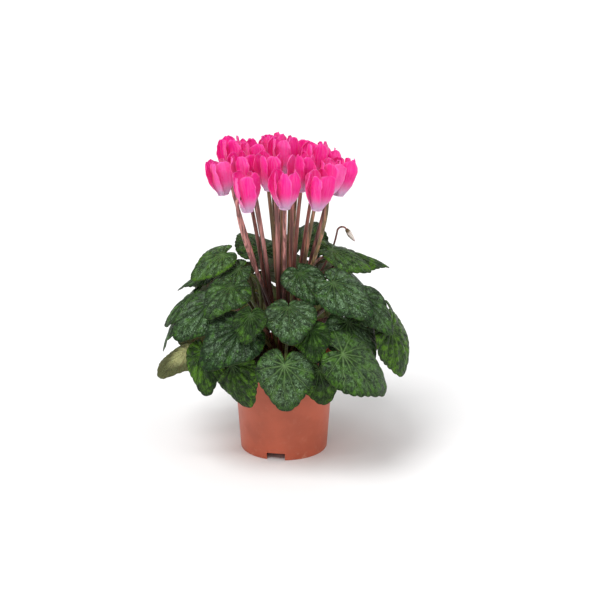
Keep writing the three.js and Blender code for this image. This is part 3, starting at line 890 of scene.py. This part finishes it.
def leaf_material():
    """Green with silver marbling between middle and edge, pale or dark veins and a paler underside."""
    chosen = settings("leaves")
    material, tree, shader, where = new_material("cyclamen_leaf", chosen.light)
    tone, silver, fresh, pale, under, rim = tree.attributes("tone", "silver", "fresh", "pale", "under", "rim")
    blade = tree.add("ShaderNodeUVMap", uv_map="blade").outputs[0]
    out = tree.part(blade, 1)
    cloud = tree.noise(where, 95, 3)
    mottle = tree.noise(where, 240, 5, 0.6)
    glint_noise = tree.noise(where, 1100, 2, 0.6)
    wander = tree.swing(cloud, 0.22)
    signed = tree.swing(tree.part(blade, 0), 2 * math.pi)
    turn = tree.math("ABSOLUTE", tree.plus(signed, wander))
    veins, halo = vein_marks(tree, turn, out, tree.times(out, rim))
    net = tree.ramp(tree.cells(where, 300), 0.02, 0.14, 1.0, 0.0)
    green = leaf_green(tree, where, cloud, mottle, tone, silver, fresh)
    # silver marbling in a ragged band between the middle and the edge
    ragged = tree.plus(out, tree.swing(cloud, 0.55))
    band = tree.times(tree.ramp(ragged, 0.16, 0.36), tree.ramp(ragged, 0.98, 0.78))
    patch = tree.ramp(mottle, 0.42, 0.6, 0.05, 1.0)
    patch = tree.times(patch, tree.minus(1.0, tree.times(net, 0.45)))
    marbled = tree.times(tree.times(band, patch), silver)
    marbled = tree.times(marbled, tree.minus(1.0, tree.times(veins, 0.75)))
    top = tree.mix(tree.times(marbled, 0.7, clamp=True), green, chosen.silver)
    # painted glints: small flecks in the silver band, far brighter than the silver, stand in for highlights
    painted_glints = tree.times(tree.ramp(glint_noise, 0.58, 0.68), tree.times(band, silver))
    top = tree.mix(tree.times(painted_glints, 0.75, clamp=True), top, shade(chosen.silver, 2.7))
    top = tree.mix(tree.times(net, 0.18), top, chosen.deep)
    # painted shade in the furrows along the main veins, and the veins themselves
    furrow_shade = tree.times(tree.minus(halo, tree.times(veins, pale)), 0.45, clamp=True)
    top = tree.mix(furrow_shade, top, shade(chosen.deep, 0.6))
    vein_colour = tree.mix(pale, shade(chosen.deep, 1.6), chosen.vein)
    top = tree.mix(tree.times(veins, 0.6), top, vein_colour)
    edge = tree.ramp(out, 0.93, 1.0, 0.0, 0.45)
    top = tree.mix(edge, top, shade(chosen.deep, 0.8))
    base = tree.mix(under, top, leaf_underside(tree, out, cloud, fresh, veins))
    relief = tree.plus(tree.times(veins, -0.9), tree.times(net, -0.35))
    relief = tree.plus(relief, tree.times(mottle, 0.5))
    dress(tree, shader, base, tree.ramp(mottle, 0.3, 0.7, 0.3, 0.5), relief, 0.0014, 0.9)
    shader.inputs["Specular IOR Level"].default_value = 0.18
    return material


LEAF_COLUMNS, LEAF_RINGS = 180, 22


def blade_relief(along, across, turn, out, arm, index):
    """How far a blade's points rise: in waves at its edge, in bulges between its veins, and crumpled."""
    wave = EDGE_WAVE * POLE_SHARE * LEAVES[index][2] * out**2 * np.sin(3 * turn + PHASE_STEP * index)
    mains, sides = vein_lines(out)
    groove = np.zeros_like(out)
    for lines, width, depth in ((mains, 2.0, 1), (sides, 1.5, 0.7)):
        for line in lines:
            near = (np.abs(turn) - line) * arm / (width * (1 - 0.3 * out))
            groove = np.maximum(groove, np.exp(-(near**2)) * depth)
    out = out.ravel()
    quilt = settings("leaves").quilting / MM * (0.55 - groove.ravel()) * np.clip(out * 2.5, 0, 1)
    crumple = 0.75 * rumple(np.stack([along, across, 0 * along], 1), 14, 100 + index) * out
    return wave.ravel() + quilt * np.clip(1.25 - out**3, 0, 1) + crumple


def blade_faces():
    """Faces of a blade's two sides and its rim. Each side has its rings' points first, and then the joint."""
    columns, count = range(LEAF_COLUMNS), LEAF_RINGS * LEAF_COLUMNS
    after = [(c + 1) % LEAF_COLUMNS for c in columns]
    faces = []
    for start, flip in ((0, False), (count + 1, True)):
        sheet = grid_faces(LEAF_RINGS, LEAF_COLUMNS, start)
        sheet += [(start + c, start + after[c], start + count) for c in columns]
        faces += [f[::-1] for f in sheet] if flip else sheet
    rim = count - LEAF_COLUMNS
    low_rim = rim + count + 1
    return faces + [(rim + c, low_rim + c, low_rim + after[c], rim + after[c]) for c in columns]


def map_blade(mesh, turns, outs):
    """Gives a blade its UV map, from each vertex's way round the joint and way out.

    A face at the seam runs on past 1. The joint itself has no turn, which -1 says, and takes its face's mean.
    """
    uv = mesh.uv_layers.new(name="blade")
    for face in mesh.polygons:
        corners = [mesh.loops[i].vertex_index for i in face.loop_indices]
        around = [turns[v] for v in corners]
        known = [u for u in around if u >= 0]
        if max(known) - min(known) > 0.5:
            around = [u + 1 if 0 <= u < 0.5 else u for u in around]
            known = [u for u in around if u >= 0]
        for i, v, u in zip(face.loop_indices, corners, around):
            uv.data[i].uv = (sum(known) / len(known) if u < 0 else u, outs[v])


def blade_object(name, index, material):
    """One leaf: a fine heart-shaped blade with teeth, grooved along its veins and bulging between them."""
    row, chosen = LEAVES[index], settings("leaves")
    place = LeafPlace(*row[:7])
    angles = np.linspace(-np.pi, np.pi, LEAF_COLUMNS, endpoint=False)
    outs = np.linspace(0, 1, LEAF_RINGS + 1)[1:] ** 0.9
    turn, out = np.meshgrid(angles, outs)
    teeth = np.abs(np.sin(0.5 * chosen.teeth * (turn + 0.13 * index)))
    teeth = (teeth - 0.6) * chosen.tooth * 2 * out**6 * np.minimum(1, np.abs(turn) / 0.18)
    arm = out * place.reach * heart(turn) * (1 + teeth)
    along, across = (arm * np.cos(turn)).ravel(), (arm * np.sin(turn)).ravel()
    raised = blade_relief(along, across, turn, out, arm, index)
    surface = np.vstack([place.point(along, across, raised), place.point(0.0, 0.0, 0.0)])
    half = 0.5 * chosen.thickness / MM
    lift = place.up * half
    leaf = mesh_object(name, np.vstack([surface + lift, surface - lift]) * MM, blade_faces())

    tone, silver, fresh, pale = row[7:]
    edge = np.append(np.tile(place.reach * heart(angles), LEAF_RINGS), 0.6 * place.reach) * MM
    store(leaf, tone=tone, silver=silver, fresh=fresh, pale=pale, under=np.repeat([0.0, 1.0], len(surface)),
          rim=np.tile(edge, 2))
    turns = np.append(np.tile(angles / (2 * np.pi) + 0.5, LEAF_RINGS), -1)
    map_blade(leaf.data, np.tile(turns, 2), np.tile(np.append(out.ravel(), 0), 2))
    outside_out(leaf)
    leaf.data.materials.append(material)
    return leaf


class CYCLAMEN_OT_leaves(bpy.types.Operator):
    """Grows the heart-shaped leaves on their dome"""

    bl_idname = "cyclamen.leaves"
    bl_label = "Leaves"

    def execute(self, context):
        material = leaf_material()
        for index in range(len(LEAVES)):
            number = f"{index + 1:02d}"
            leaf = blade_object("leaf_blade_" + number, index, material)
            finish_piece(leaf, "leaf", "leaf_" + number)
        return {"FINISHED"}


# ---- stalks ----


def bow(start, out, end, into, shares):
    """Points of a cubic curve that leaves its start along out and reaches its end along into."""
    t = np.asarray(shares, float)[:, None]
    a, b = start + out, end - into
    return (1 - t) ** 3 * start + 3 * (1 - t) ** 2 * t * a + 3 * (1 - t) * t**2 * b + t**3 * end


def crown_point(azimuth, radius):
    """Where a stalk starts, inside the growing point."""
    return outward(azimuth) * radius + np.array([0, 0, CROWN_BASE + 1])


def leaf_stalk_path(index):
    row = LEAVES[index]
    place = LeafPlace(*row[:7])
    under = 0.4 + GAP
    end = place.joint - place.up * under
    elbow = place.joint - place.up * (under + 5)
    start = crown_point(row[0], 13.5 + 2.2 * (index % 3))
    rise = outward(row[0]) * 18 + np.array([0, 0, 0.3 * (elbow[2] - start[2]) + 28])
    into = unit(place.up * 0.6 + place.tip * 0.5) * 0.35 * np.linalg.norm(elbow - start)
    stem = bow(start, rise, elbow, into, np.linspace(0, 0.96, 22))
    return np.vstack([stem, place.joint - place.up * (under + 3), end])


def flower_axes(mouth, azimuth, lean=None):
    """A flower's own axes, as the columns nod, side and up of a matrix, and its mouth in millimetres."""
    x, y = mouth[:2]
    if lean is None:
        lean = FLOWER_LEAN * math.hypot(x, y)
    away = unit(np.array([x, y, 0.0]))
    turn = math.radians(lean)
    up = away * math.sin(turn) + np.array([0, 0, math.cos(turn)])
    side = unit(np.cross(up, outward(azimuth)))
    return np.stack([np.cross(side, up), side, up], 1), np.array(mouth, float)


def neck_path(axes, mouth, foot, first, steps=10):
    """The hooked neck over a flower, down to a height above its mouth."""
    bend = NECK_OFFSET / 2
    angles = np.radians(np.linspace(first, 0, steps))
    local = np.stack([-bend + bend * np.cos(angles), 0 * angles, foot + 0.8 + bend * np.sin(angles)], 1)
    local = np.vstack([local, [0, 0, foot]])
    return local @ axes.T + mouth


def flower_stalk_path(index):
    x, y, z, _, azimuth = FLOWERS[index]
    axes, mouth = flower_axes((x, y, z), azimuth)
    away = np.array([x, y, 0.0])
    distance = np.linalg.norm(away)
    start = crown_point(math.degrees(math.atan2(x, -y)), 2.6 * math.sqrt(index % 9))
    approach = axes @ np.array([-NECK_OFFSET, 0, -4]) + mouth
    lean = math.radians(0.26 * distance)
    rise = away * 0.22 + np.array([0, 0, 60])
    into = unit(away) * 60 * math.sin(lean) + np.array([0, 0, 60 * math.cos(lean)])
    neck = neck_path(axes, mouth, TUBE_HEIGHT - 0.4, 180)
    return np.vstack([bow(start, rise, approach, into, np.linspace(0, 1, 22)), neck])


def bud_stalk_path():
    axes, mouth = flower_axes(BUD_MOUTH, BUD_AZIMUTH, BUD_LEAN)
    neck = neck_path(axes, mouth, -0.3, 150)
    start = crown_point(120, 9)
    stem = bow(start, np.array([0, 0, 60]), neck[0], np.array([8, -3, 48]), np.linspace(0, 0.94, 22))
    return np.vstack([stem, neck])


def stalk_tree():
    """Tubes along curves, with their share of the way up and a random number for each stalk."""
    tree, given = node_group(
        "stalk_tubes", ("Sides", "Int", 14), ("Ripple", "Float", 0.0001), ("Seed", "Int", 2),
        ("Crown", "Object", None), ("Material", "Material", None),
    )
    climb = tree.add("GeometryNodeSplineParameter").outputs["Factor"]
    marked = tree.keep(given["Geometry"], "climb", climb, "POINT")
    marked = tree.keep(marked, "lot", tree.chance(0.0, 1.0, given["Seed"]), "CURVE")
    facets = {"Resolution": given["Sides"], "Radius": 1.0}
    ring = tree.add("GeometryNodeCurvePrimitiveCircle", facets).outputs[0]
    radius = tree.add("GeometryNodeInputRadius").outputs[0]
    along = {"Curve": marked, "Profile Curve": ring, "Scale": radius, "Fill Caps": True}
    tubes = tree.add("GeometryNodeCurveToMesh", along).outputs[0]
    bumps = tree.minus(tree.noise(tree.place(), 160, 2), 0.5)
    tubes = tree.push(tubes, tree.normal(), tree.times(bumps, given["Ripple"]))
    tubes = tree.add("GeometryNodeSetShadeSmooth", {"Geometry": tubes}).outputs[0]
    return close_group(tree, tree.join(tubes, tree.model(given["Crown"])), given["Material"])


def stalk_material(name, top, lightness):
    """Dark red at the foot, and the top's colour higher up, with fine lengthwise streaks."""
    chosen = settings("stalks")
    material, tree, shader, where = new_material(name, top)
    climb, lot = tree.attributes("climb", "lot")
    streak = tree.noise(tree.stretched(where, 0.12), 1400, 3, 0.6)
    cloud = tree.noise(where, 70, 3)
    where_red = tree.plus(tree.plus(climb, tree.swing(lot, 0.9)), tree.swing(cloud, 0.5))
    skin = tree.tint(top, chosen.green, lot, 0.66, 0.78, 0.7)
    base = tree.tint(chosen.red, skin, where_red, 0.2, 1.05)
    # painted highlights: the upper parts of a few stalks, picked at random, are paler to stand in for their
    # lit sides
    light = tree.times(tree.ramp(lot, 0.36, 0.22), tree.ramp(climb, 0.38, 0.6))
    base = tree.mix(tree.times(light, lightness), base, chosen.pale)
    # painted highlights and painted shade: long lighter and darker bands along each stalk stand in for its
    # lit and shaded sides
    broad = tree.noise(tree.stretched(where, 0.03), 420, 2, 0.5)
    band = tree.plus(broad, tree.swing(lot, 0.1))
    base = tree.tint(base, shade(chosen.red, 0.8), band, 0.5, 0.38, 0.7)
    base = tree.tint(base, shade(top, 2.2), band, 0.55, 0.68, 0.4)
    base = tree.tint(base, shade(chosen.red, 0.5), streak, 0.5, 0.75, 0.25)
    dress(tree, shader, base, tree.ramp(streak, 0.3, 0.7, 0.3, 0.48), streak, 0.00015, 0.6)
    return material


def crown_lump(name, profile):
    """The growing point that a bundle's stalks share, with an uneven top. Heights are from its foot."""
    uneven_rows, depth = range(1, 4), 0.0004

    def uneven(ring, row, angles):
        if row in uneven_rows:
            ring[:, 2] += depth * rumple(ring, 0.004, 11)
        return ring

    crown = lathe(name, [(r * MM, (CROWN_BASE + z) * MM) for r, z in profile], 72, uneven, sharp=50)
    store(crown, climb=0.0, lot=0.5)
    return crown


def stalk_bundle(name, paths, radii, top, lightness, crown_profile, seed):
    """One mesh of tapering tubes along the paths, and of the crown that they grow from."""
    curves = bpy.data.curves.new(name + "_lines", "CURVE")
    curves.dimensions = "3D"
    for path, radius in zip(paths, radii):
        spline = curves.splines.new("POLY")
        spline.points.add(len(path) - 1)
        for point, place, t in zip(spline.points, path * MM, np.linspace(0, 1, len(path))):
            point.co = (*place, 1.0)
            point.radius = radius * (1.12 - 0.3 * t)
    lines = linked(name + "_lines", curves)
    crown = crown_lump(name + "_crown", crown_profile)
    bundle = grown(lines, stalk_tree(), name, sides=settings("stalks").sides, ripple=0.0003, seed=seed,
                   crown=crown, material=stalk_material(name + "_skin", top, lightness))
    discard(lines, crown)
    return bundle


class CYCLAMEN_OT_leaf_stalks(bpy.types.Operator):
    """Grows the arching leaf stalks from the ring round the corm's crown"""

    bl_idname = "cyclamen.leaf_stalks"
    bl_label = "Leaf stalks"

    def execute(self, context):
        chosen = settings("stalks")
        ring = [(10.9, 0), (20, 0), (19.6, 2.5), (18.6, 4), (14, 4.2), (10.9, 4)]
        paths = [leaf_stalk_path(i) for i in range(len(LEAVES))]
        radii = [chosen.leaf_radius] * len(LEAVES)
        bundle = stalk_bundle("leaf_stalk_bundle", paths, radii, chosen.green, 0.3, ring, 3)
        finish_piece(bundle, "leaf_stalk", "leaf_stalks")
        return {"FINISHED"}


class CYCLAMEN_OT_flower_stalks(bpy.types.Operator):
    """Grows the flower stalks and the bud's stalk, with their hooked necks"""

    bl_idname = "cyclamen.flower_stalks"
    bl_label = "Flower stalks"

    def execute(self, context):
        chosen = settings("stalks")
        disc = [(0, 0), (10.4, 0), (10.2, 2.5), (9.4, 4), (5, 4.2), (0, 4.2)]
        paths = [flower_stalk_path(i) for i in range(len(FLOWERS))] + [bud_stalk_path()]
        radii = [chosen.flower_radius] * len(FLOWERS) + [chosen.bud_radius]
        bundle = stalk_bundle("flower_stalk_bundle", paths, radii, chosen.pink, 0.8, disc, 27)
        finish_piece(bundle, "flower_stalk", "flower_stalks")
        return {"FINISHED"}


# ---- flowers and bud ----


def petal_material():
    chosen = settings("flowers")
    material, tree, shader, where = new_material("cyclamen_petal", chosen.petal)
    rise, across, lot, calyx, hollow = tree.attributes("rise", "across", "lot", "calyx", "hollow")
    cloud = tree.noise(where, 160, 3)
    stripes = tree.vector(tree.times(across, 9.0), tree.times(rise, 1.6), tree.times(lot, 37.0))
    streak = tree.noise(stripes, 1.0, 4, 0.6)
    off = tree.math("ABSOLUTE", across)
    base = tree.tint(chosen.petal, chosen.bright, streak, 0.42, 0.7, 0.75)
    # darker streaks, in the pink that paints shade in the folds
    base = tree.tint(base, chosen.hollow, streak, 0.45, 0.28, 0.55)
    base = tree.mix(tree.times(tree.ramp(off, 0.7, 1.0), 0.65), base, chosen.bright)
    # painted shade and painted highlight: whole petals, picked at random, darkened or lightened as if in
    # shade or in light
    base = tree.tint(base, chosen.hollow, lot, 0.45, 1.0, 0.5)
    base = tree.tint(base, chosen.bright, lot, 0.35, 0.0, 0.5)
    # painted shade: darker blotches of the hollow pink across the flower
    base = tree.tint(base, chosen.hollow, cloud, 0.55, 0.72, 0.5)
    foot = tree.plus(rise, tree.swing(streak, 0.25))
    base = tree.tint(base, chosen.mouth, foot, 0.5, 0.02)
    # painted shade: the tube's inside in the hollow pink
    base = tree.mix(hollow, base, chosen.hollow)
    base = tree.mix(calyx, base, tree.mix(cloud, chosen.calyx, shade(chosen.calyx, 0.6)))
    relief = tree.plus(streak, tree.times(tree.noise(where, 1800, 2), 0.25))
    dress(tree, shader, base, tree.ramp(streak, 0.3, 0.7, 0.42, 0.6), relief, 0.0004, 0.7)
    for name, value in (
        ("Subsurface Weight", 0.35), ("Subsurface Radius", (1.0, 0.25, 0.55)), ("Subsurface Scale", 0.004),
        ("Specular IOR Level", 0.3), ("Sheen Weight", 0.15), ("Sheen Roughness", 0.4),
    ):
        shader.inputs[name].default_value = value
    return material


PETAL_ROWS, PETAL_COLUMNS = 22, 13


def petal_object():
    """One petal, which leaves the mouth, flares and stands up, a metre tall until a flower scales it."""
    chosen = settings("flowers")
    rises = np.linspace(0.02, 1, PETAL_ROWS)
    sides = np.sin(np.linspace(-np.pi / 2, np.pi / 2, PETAL_COLUMNS))
    knots = [0.02, 0.3, 0.72, 1.0]
    radius = hermite(rises, knots, [4.75, 8.8, 11.6, 11.2])
    turn = np.radians(hermite(rises, knots, [0, 28, 36, 30]))
    drop = hermite(rises, knots, [0, 0.9, 1.8, 1.4])
    wide = 0.32 + 0.68 * np.sin(np.pi / 2 * np.minimum(rises / 0.66, 1)) ** 0.8
    wide *= np.sqrt(np.maximum(0, 1 - (np.maximum(rises - 0.68, 0) / 0.325) ** 2)) * 0.97 + 0.03
    rise, side = np.meshgrid(rises, sides, indexing="ij")
    across = side * (wide * 0.5 * chosen.width / MM)[:, None]
    pleat = 0.32 * np.cos(3 * np.pi * side) * np.sin(np.pi * np.clip(rise, 0, 1)) ** 0.7
    radial = radius[:, None] - drop[:, None] * np.abs(side) ** 1.5 + pleat + across * np.sin(turn)[:, None]
    tangent = across * np.cos(turn)[:, None]
    half = 0.5 * chosen.thickness / MM
    points = np.stack([radial.ravel(), tangent.ravel(), rise.ravel()], 1)
    outer, inner = points + [half, 0, 0], points - [half, 0, 0]
    scale = np.array([MM, MM, 1.0])
    count = len(points)
    sheet = grid_faces(PETAL_ROWS, PETAL_COLUMNS, closed=False)
    faces = sheet + [tuple(v + count for v in f[::-1]) for f in sheet]
    vertex = np.arange(count).reshape(PETAL_ROWS, PETAL_COLUMNS)
    edge = [*vertex[:, 0], *vertex[-1, 1:], *vertex[-2::-1, -1], *vertex[0, -2:0:-1]]
    faces += [(a, b, b + count, a + count) for a, b in zip(edge, edge[1:] + edge[:1])]
    petal = mesh_object("petal_cut", np.vstack([outer, inner]) * scale, faces)
    store(petal, rise=np.tile(rise.ravel(), 2), across=np.tile(side.ravel(), 2), calyx=0.0, hollow=0.0)
    outside_out(petal)
    return petal


def tube_object():
    """The short tube that the petals fold back from, open below, with the calyx's five teeth over its top."""
    profile = [(0, 8.1), (2.6, 8.3), (4.3, 7.7), (4.9, 6.2), (5.1, 4.6), (5.35, 2.4), (5.75, 0.6),
               (5.6, -0.1), (5.1, 0.0), (4.5, 0.7), (4.1, 3.0), (3.5, 6.2), (0, 6.6)]

    def teeth(ring, row, angles):
        if 1 <= row <= 3:
            ring[:, :2] *= (1 + 0.035 * np.cos(5 * angles))[:, None]
        return ring

    tube = lathe("tube_cut", [(r * MM, z * MM) for r, z in profile], 50, teeth, sharp=70)
    places = np.array([tuple(v.co) for v in tube.data.vertices]) / MM
    radii = np.hypot(places[:, 0], places[:, 1])
    around = np.arctan2(places[:, 0], -places[:, 1])
    inside = (radii < 4.6) & (places[:, 2] < 7)
    cap = np.clip((places[:, 2] - 5.2 - 1.2 * (1 - np.cos(5 * around)) / 2) / 0.8, 0, 1) * ~inside
    # the tube's inside is marked for painted shade in the hollow pink
    store(tube, rise=0.05, across=0.0, calyx=cap, hollow=inside, lot=0.3)
    return tube


def bloom_tree():
    """Five petals round the tube's mouth, each with its own number, waved along their edges."""
    tree, given = node_group(
        "petal_whorl", ("Petal", "Object", None), ("Petals", "Int", 5), ("Spread", "Float", 1.06),
        ("Height", "Float", 0.039), ("Ruffle", "Float", 0.0016), ("Seed", "Int", 1),
        ("Material", "Material", None),
    )
    petals, seed = given["Petals"], given["Seed"]
    points = tree.add("GeometryNodePoints", {"Count": petals}).outputs[0]
    number = tree.add("GeometryNodeInputIndex").outputs[0]
    step = tree.minus(number, tree.times(tree.minus(petals, 1.0), 0.5))
    angle = tree.math("MULTIPLY_ADD", step, given["Spread"], tree.chance(-0.11, 0.11, seed))
    tall = tree.times(given["Height"], tree.chance(0.93, 1.0, seed))
    turn, size = tree.vector(0.0, 0.0, angle), tree.vector(1.0, 1.0, tall)
    whorl = tree.copies(points, tree.model(given["Petal"]), turn, size)
    whorl = tree.keep(whorl, "lot", tree.chance(0.0, 1.0, seed), "INSTANCE")
    whorl = tree.add("GeometryNodeRealizeInstances", {0: whorl}).outputs[0]
    own = tree.times(tree.named("lot"), 90.0)
    ripples = {"Vector": tree.place(), "Scale": 120.0, "Detail": 1.0, "W": own}
    wave = tree.add("ShaderNodeTexNoise", ripples, noise_dimensions="4D").outputs["Color"]
    shift = tree.add("ShaderNodeVectorMath", {0: wave, 1: (0.5, 0.5, 0.5)}, operation="SUBTRACT").outputs[0]
    edge = tree.math("MULTIPLY_ADD", tree.math("ABSOLUTE", tree.named("across")), 0.9, 0.35)
    amount = tree.times(tree.times(tree.named("rise"), edge), tree.times(given["Ruffle"], 4.0))
    whorl = tree.push(whorl, shift, amount)
    return close_group(tree, tree.join(whorl, given["Geometry"]), given["Material"])


def hang(thing, axes, mouth):
    """Moves a mesh from a flower's own axes to its place."""
    matrix = Matrix([(*row, offset * MM) for row, offset in zip(axes, mouth)] + [(0, 0, 0, 1)])
    thing.data.transform(matrix)


class CYCLAMEN_OT_flowers(bpy.types.Operator):
    """Makes the flowers, with petals swept back from their mouths"""

    bl_idname = "cyclamen.flowers"
    bl_label = "Flowers"

    def execute(self, context):
        chosen = settings("flowers")
        material, tree = petal_material(), bloom_tree()
        petal, tube = petal_object(), tube_object()
        for index, (x, y, z, height, azimuth) in enumerate(FLOWERS):
            number = f"{index + 1:02d}"
            bloom = grown(tube, tree, "bloom_" + number, petal=petal, petals=5, spread=chosen.spread,
                          height=height * MM, ruffle=chosen.ruffle, seed=24 + index, material=material)
            hang(bloom, *flower_axes((x, y, z), azimuth))
            finish_piece(bloom, "petal", "flower_" + number)
        discard(petal, tube)
        return {"FINISHED"}


class CYCLAMEN_OT_bud(bpy.types.Operator):
    """Hangs the closed bud, with its petals rolled round each other"""

    bl_idname = "cyclamen.bud"
    bl_label = "Bud"

    def execute(self, context):
        chosen = settings("flowers")
        length_down = 17
        profile = [(0, -length_down), (0.7, -16.2), (1.4, -14), (2.1, -11.2), (2.6, -8.5), (2.75, -6.6),
                   (2.65, -4.8), (2.4, -3.2), (2.2, -2.2), (1.9, -1), (1.35, -0.15), (0, 0.1)]
        profile = [(r * MM, z * MM) for r, z in profile]

        def rolled(ring, row, angles):
            height = ring[0, 2] / MM
            depth = 0.09 if height < -2.5 else 0.0
            ring[:, :2] *= (1 + depth * np.cos(5 * (angles + 0.11 * height)) - 0.5 * depth)[:, None]
            return ring

        bud = lathe("bud_closed", profile, 60, rolled, sharp=70)
        material, tree, shader, where = new_material("bud_skin", srgb("#e6d3c8"))
        down = tree.attributes("hang")[0]
        streak = tree.noise(where, 900, 3)
        base = tree.tint(chosen.calyx, srgb("#f0e4da"), down, 0.12, 0.3)
        base = tree.tint(base, srgb("#d79ab0"), down, 0.6, 1.0, 0.5)
        base = tree.tint(base, srgb("#b08a80"), streak, 0.5, 0.75, 0.25)
        dress(tree, shader, base, tree.ramp(streak, 0.3, 0.7, 0.35, 0.5), streak, 0.0002)
        store(bud, hang=[-v.co.z / (length_down * MM) for v in bud.data.vertices])
        bud.data.materials.append(material)
        hang(bud, *flower_axes(BUD_MOUTH, BUD_AZIMUTH, BUD_LEAN))
        finish_piece(bud, "bud", "bud")
        return {"FINISHED"}


# ---- stage ----


CAMERA_PLACE, CAMERA_AIM = (0.0168, -1.5259, 0.6391), (0.0168, 0.0, 0.158)
# Where each light shines on the origin from, and how many degrees wide its disc is.
LIGHTS = {"key": ((-0.6, -0.8, 1.6), 34), "fill": ((1.2, -0.7, 0.7), 20)}


def aimed(name, data, place, aim):
    """Puts a light or a camera in the scene, turned towards a point."""
    thing = linked(name, data)
    thing.location = place
    thing.rotation_euler = (Vector(aim) - thing.location).to_track_quat("-Z", "Y").to_euler()
    return thing


class CYCLAMEN_OT_stage(bpy.types.Operator):
    """Lays the pale floor and sets the soft lights and the camera"""

    bl_idname = "cyclamen.stage"
    bl_label = "Stage"

    def execute(self, context):
        chosen, scene = settings("stage"), context.scene
        half = chosen.floor_size / 2
        corners = [(-half, -half, 0), (half, -half, 0), (half, half, 0), (-half, half, 0)]
        floor = mesh_object("studio_floor", corners, [(0, 1, 2, 3)])
        material, tree, shader, where = new_material("studio_paint", chosen.floor)
        grain = tree.noise(where, 6, 2)
        base = tree.mix(grain, chosen.floor, shade(chosen.floor, 0.985))
        dress(tree, shader, base, tree.ramp(grain, 0.2, 0.8, 0.75, 0.85), grain, 0.0001, 0.1)
        floor.data.materials.append(material)

        world = bpy.data.worlds.new("studio")
        world.use_nodes = True
        sky = world.node_tree.nodes["Background"].inputs
        sky["Color"].default_value = (1.0, 1.0, 1.0, 1.0)
        sky["Strength"].default_value = chosen.sky
        scene.world = world

        for key, (place, softness) in LIGHTS.items():
            light = bpy.data.lights.new(key + "_light", "SUN")
            light.angle, light.energy = math.radians(softness), getattr(chosen, key)
            aimed(key + "_light", light, place, (0, 0, 0))

        camera = bpy.data.cameras.new("camera")
        camera.lens, camera.sensor_width, camera.clip_end = chosen.lens, 36.0, 100.0
        scene.camera = aimed("camera", camera, CAMERA_PLACE, CAMERA_AIM)
        scene.view_settings.view_transform = "Standard"
        scene.view_settings.look = "None"
        return {"FINISHED"}


OPERATORS = (
    CYCLAMEN_OT_stage,
    CYCLAMEN_OT_pot,
    CYCLAMEN_OT_soil,
    CYCLAMEN_OT_corm,
    CYCLAMEN_OT_leaf_stalks,
    CYCLAMEN_OT_leaves,
    CYCLAMEN_OT_flower_stalks,
    CYCLAMEN_OT_flowers,
    CYCLAMEN_OT_bud,
)


class CYCLAMEN_PT_panel(bpy.types.Panel):
    """Lists the pieces and their sizes and colours"""

    bl_idname = "CYCLAMEN_PT_panel"
    bl_label = "Potted cyclamen"
    bl_space_type = "VIEW_3D"
    bl_region_type = "UI"
    bl_category = "Cyclamen"

    def draw(self, context):
        for group, kind in SETTINGS.items():
            box = self.layout.box()
            box.label(text=group.capitalize())
            for key in kind.__annotations__:
                box.prop(settings(group), key)
        for operator in OPERATORS:
            self.layout.operator(operator.bl_idname)


CLASSES = (*SETTINGS.values(), *OPERATORS, CYCLAMEN_PT_panel)


def register():
    for kind in CLASSES:
        bpy.utils.register_class(kind)
    for group, kind in SETTINGS.items():
        setattr(bpy.types.Scene, "cyclamen_" + group, PointerProperty(type=kind))


def unregister():
    for group in SETTINGS:
        delattr(bpy.types.Scene, "cyclamen_" + group)
    for kind in reversed(CLASSES):
        bpy.utils.unregister_class(kind)


def main():
    register()
    for operator in OPERATORS:
        getattr(bpy.ops.cyclamen, operator.bl_idname.split(".")[1])()


if __name__ == "__main__":
    main()
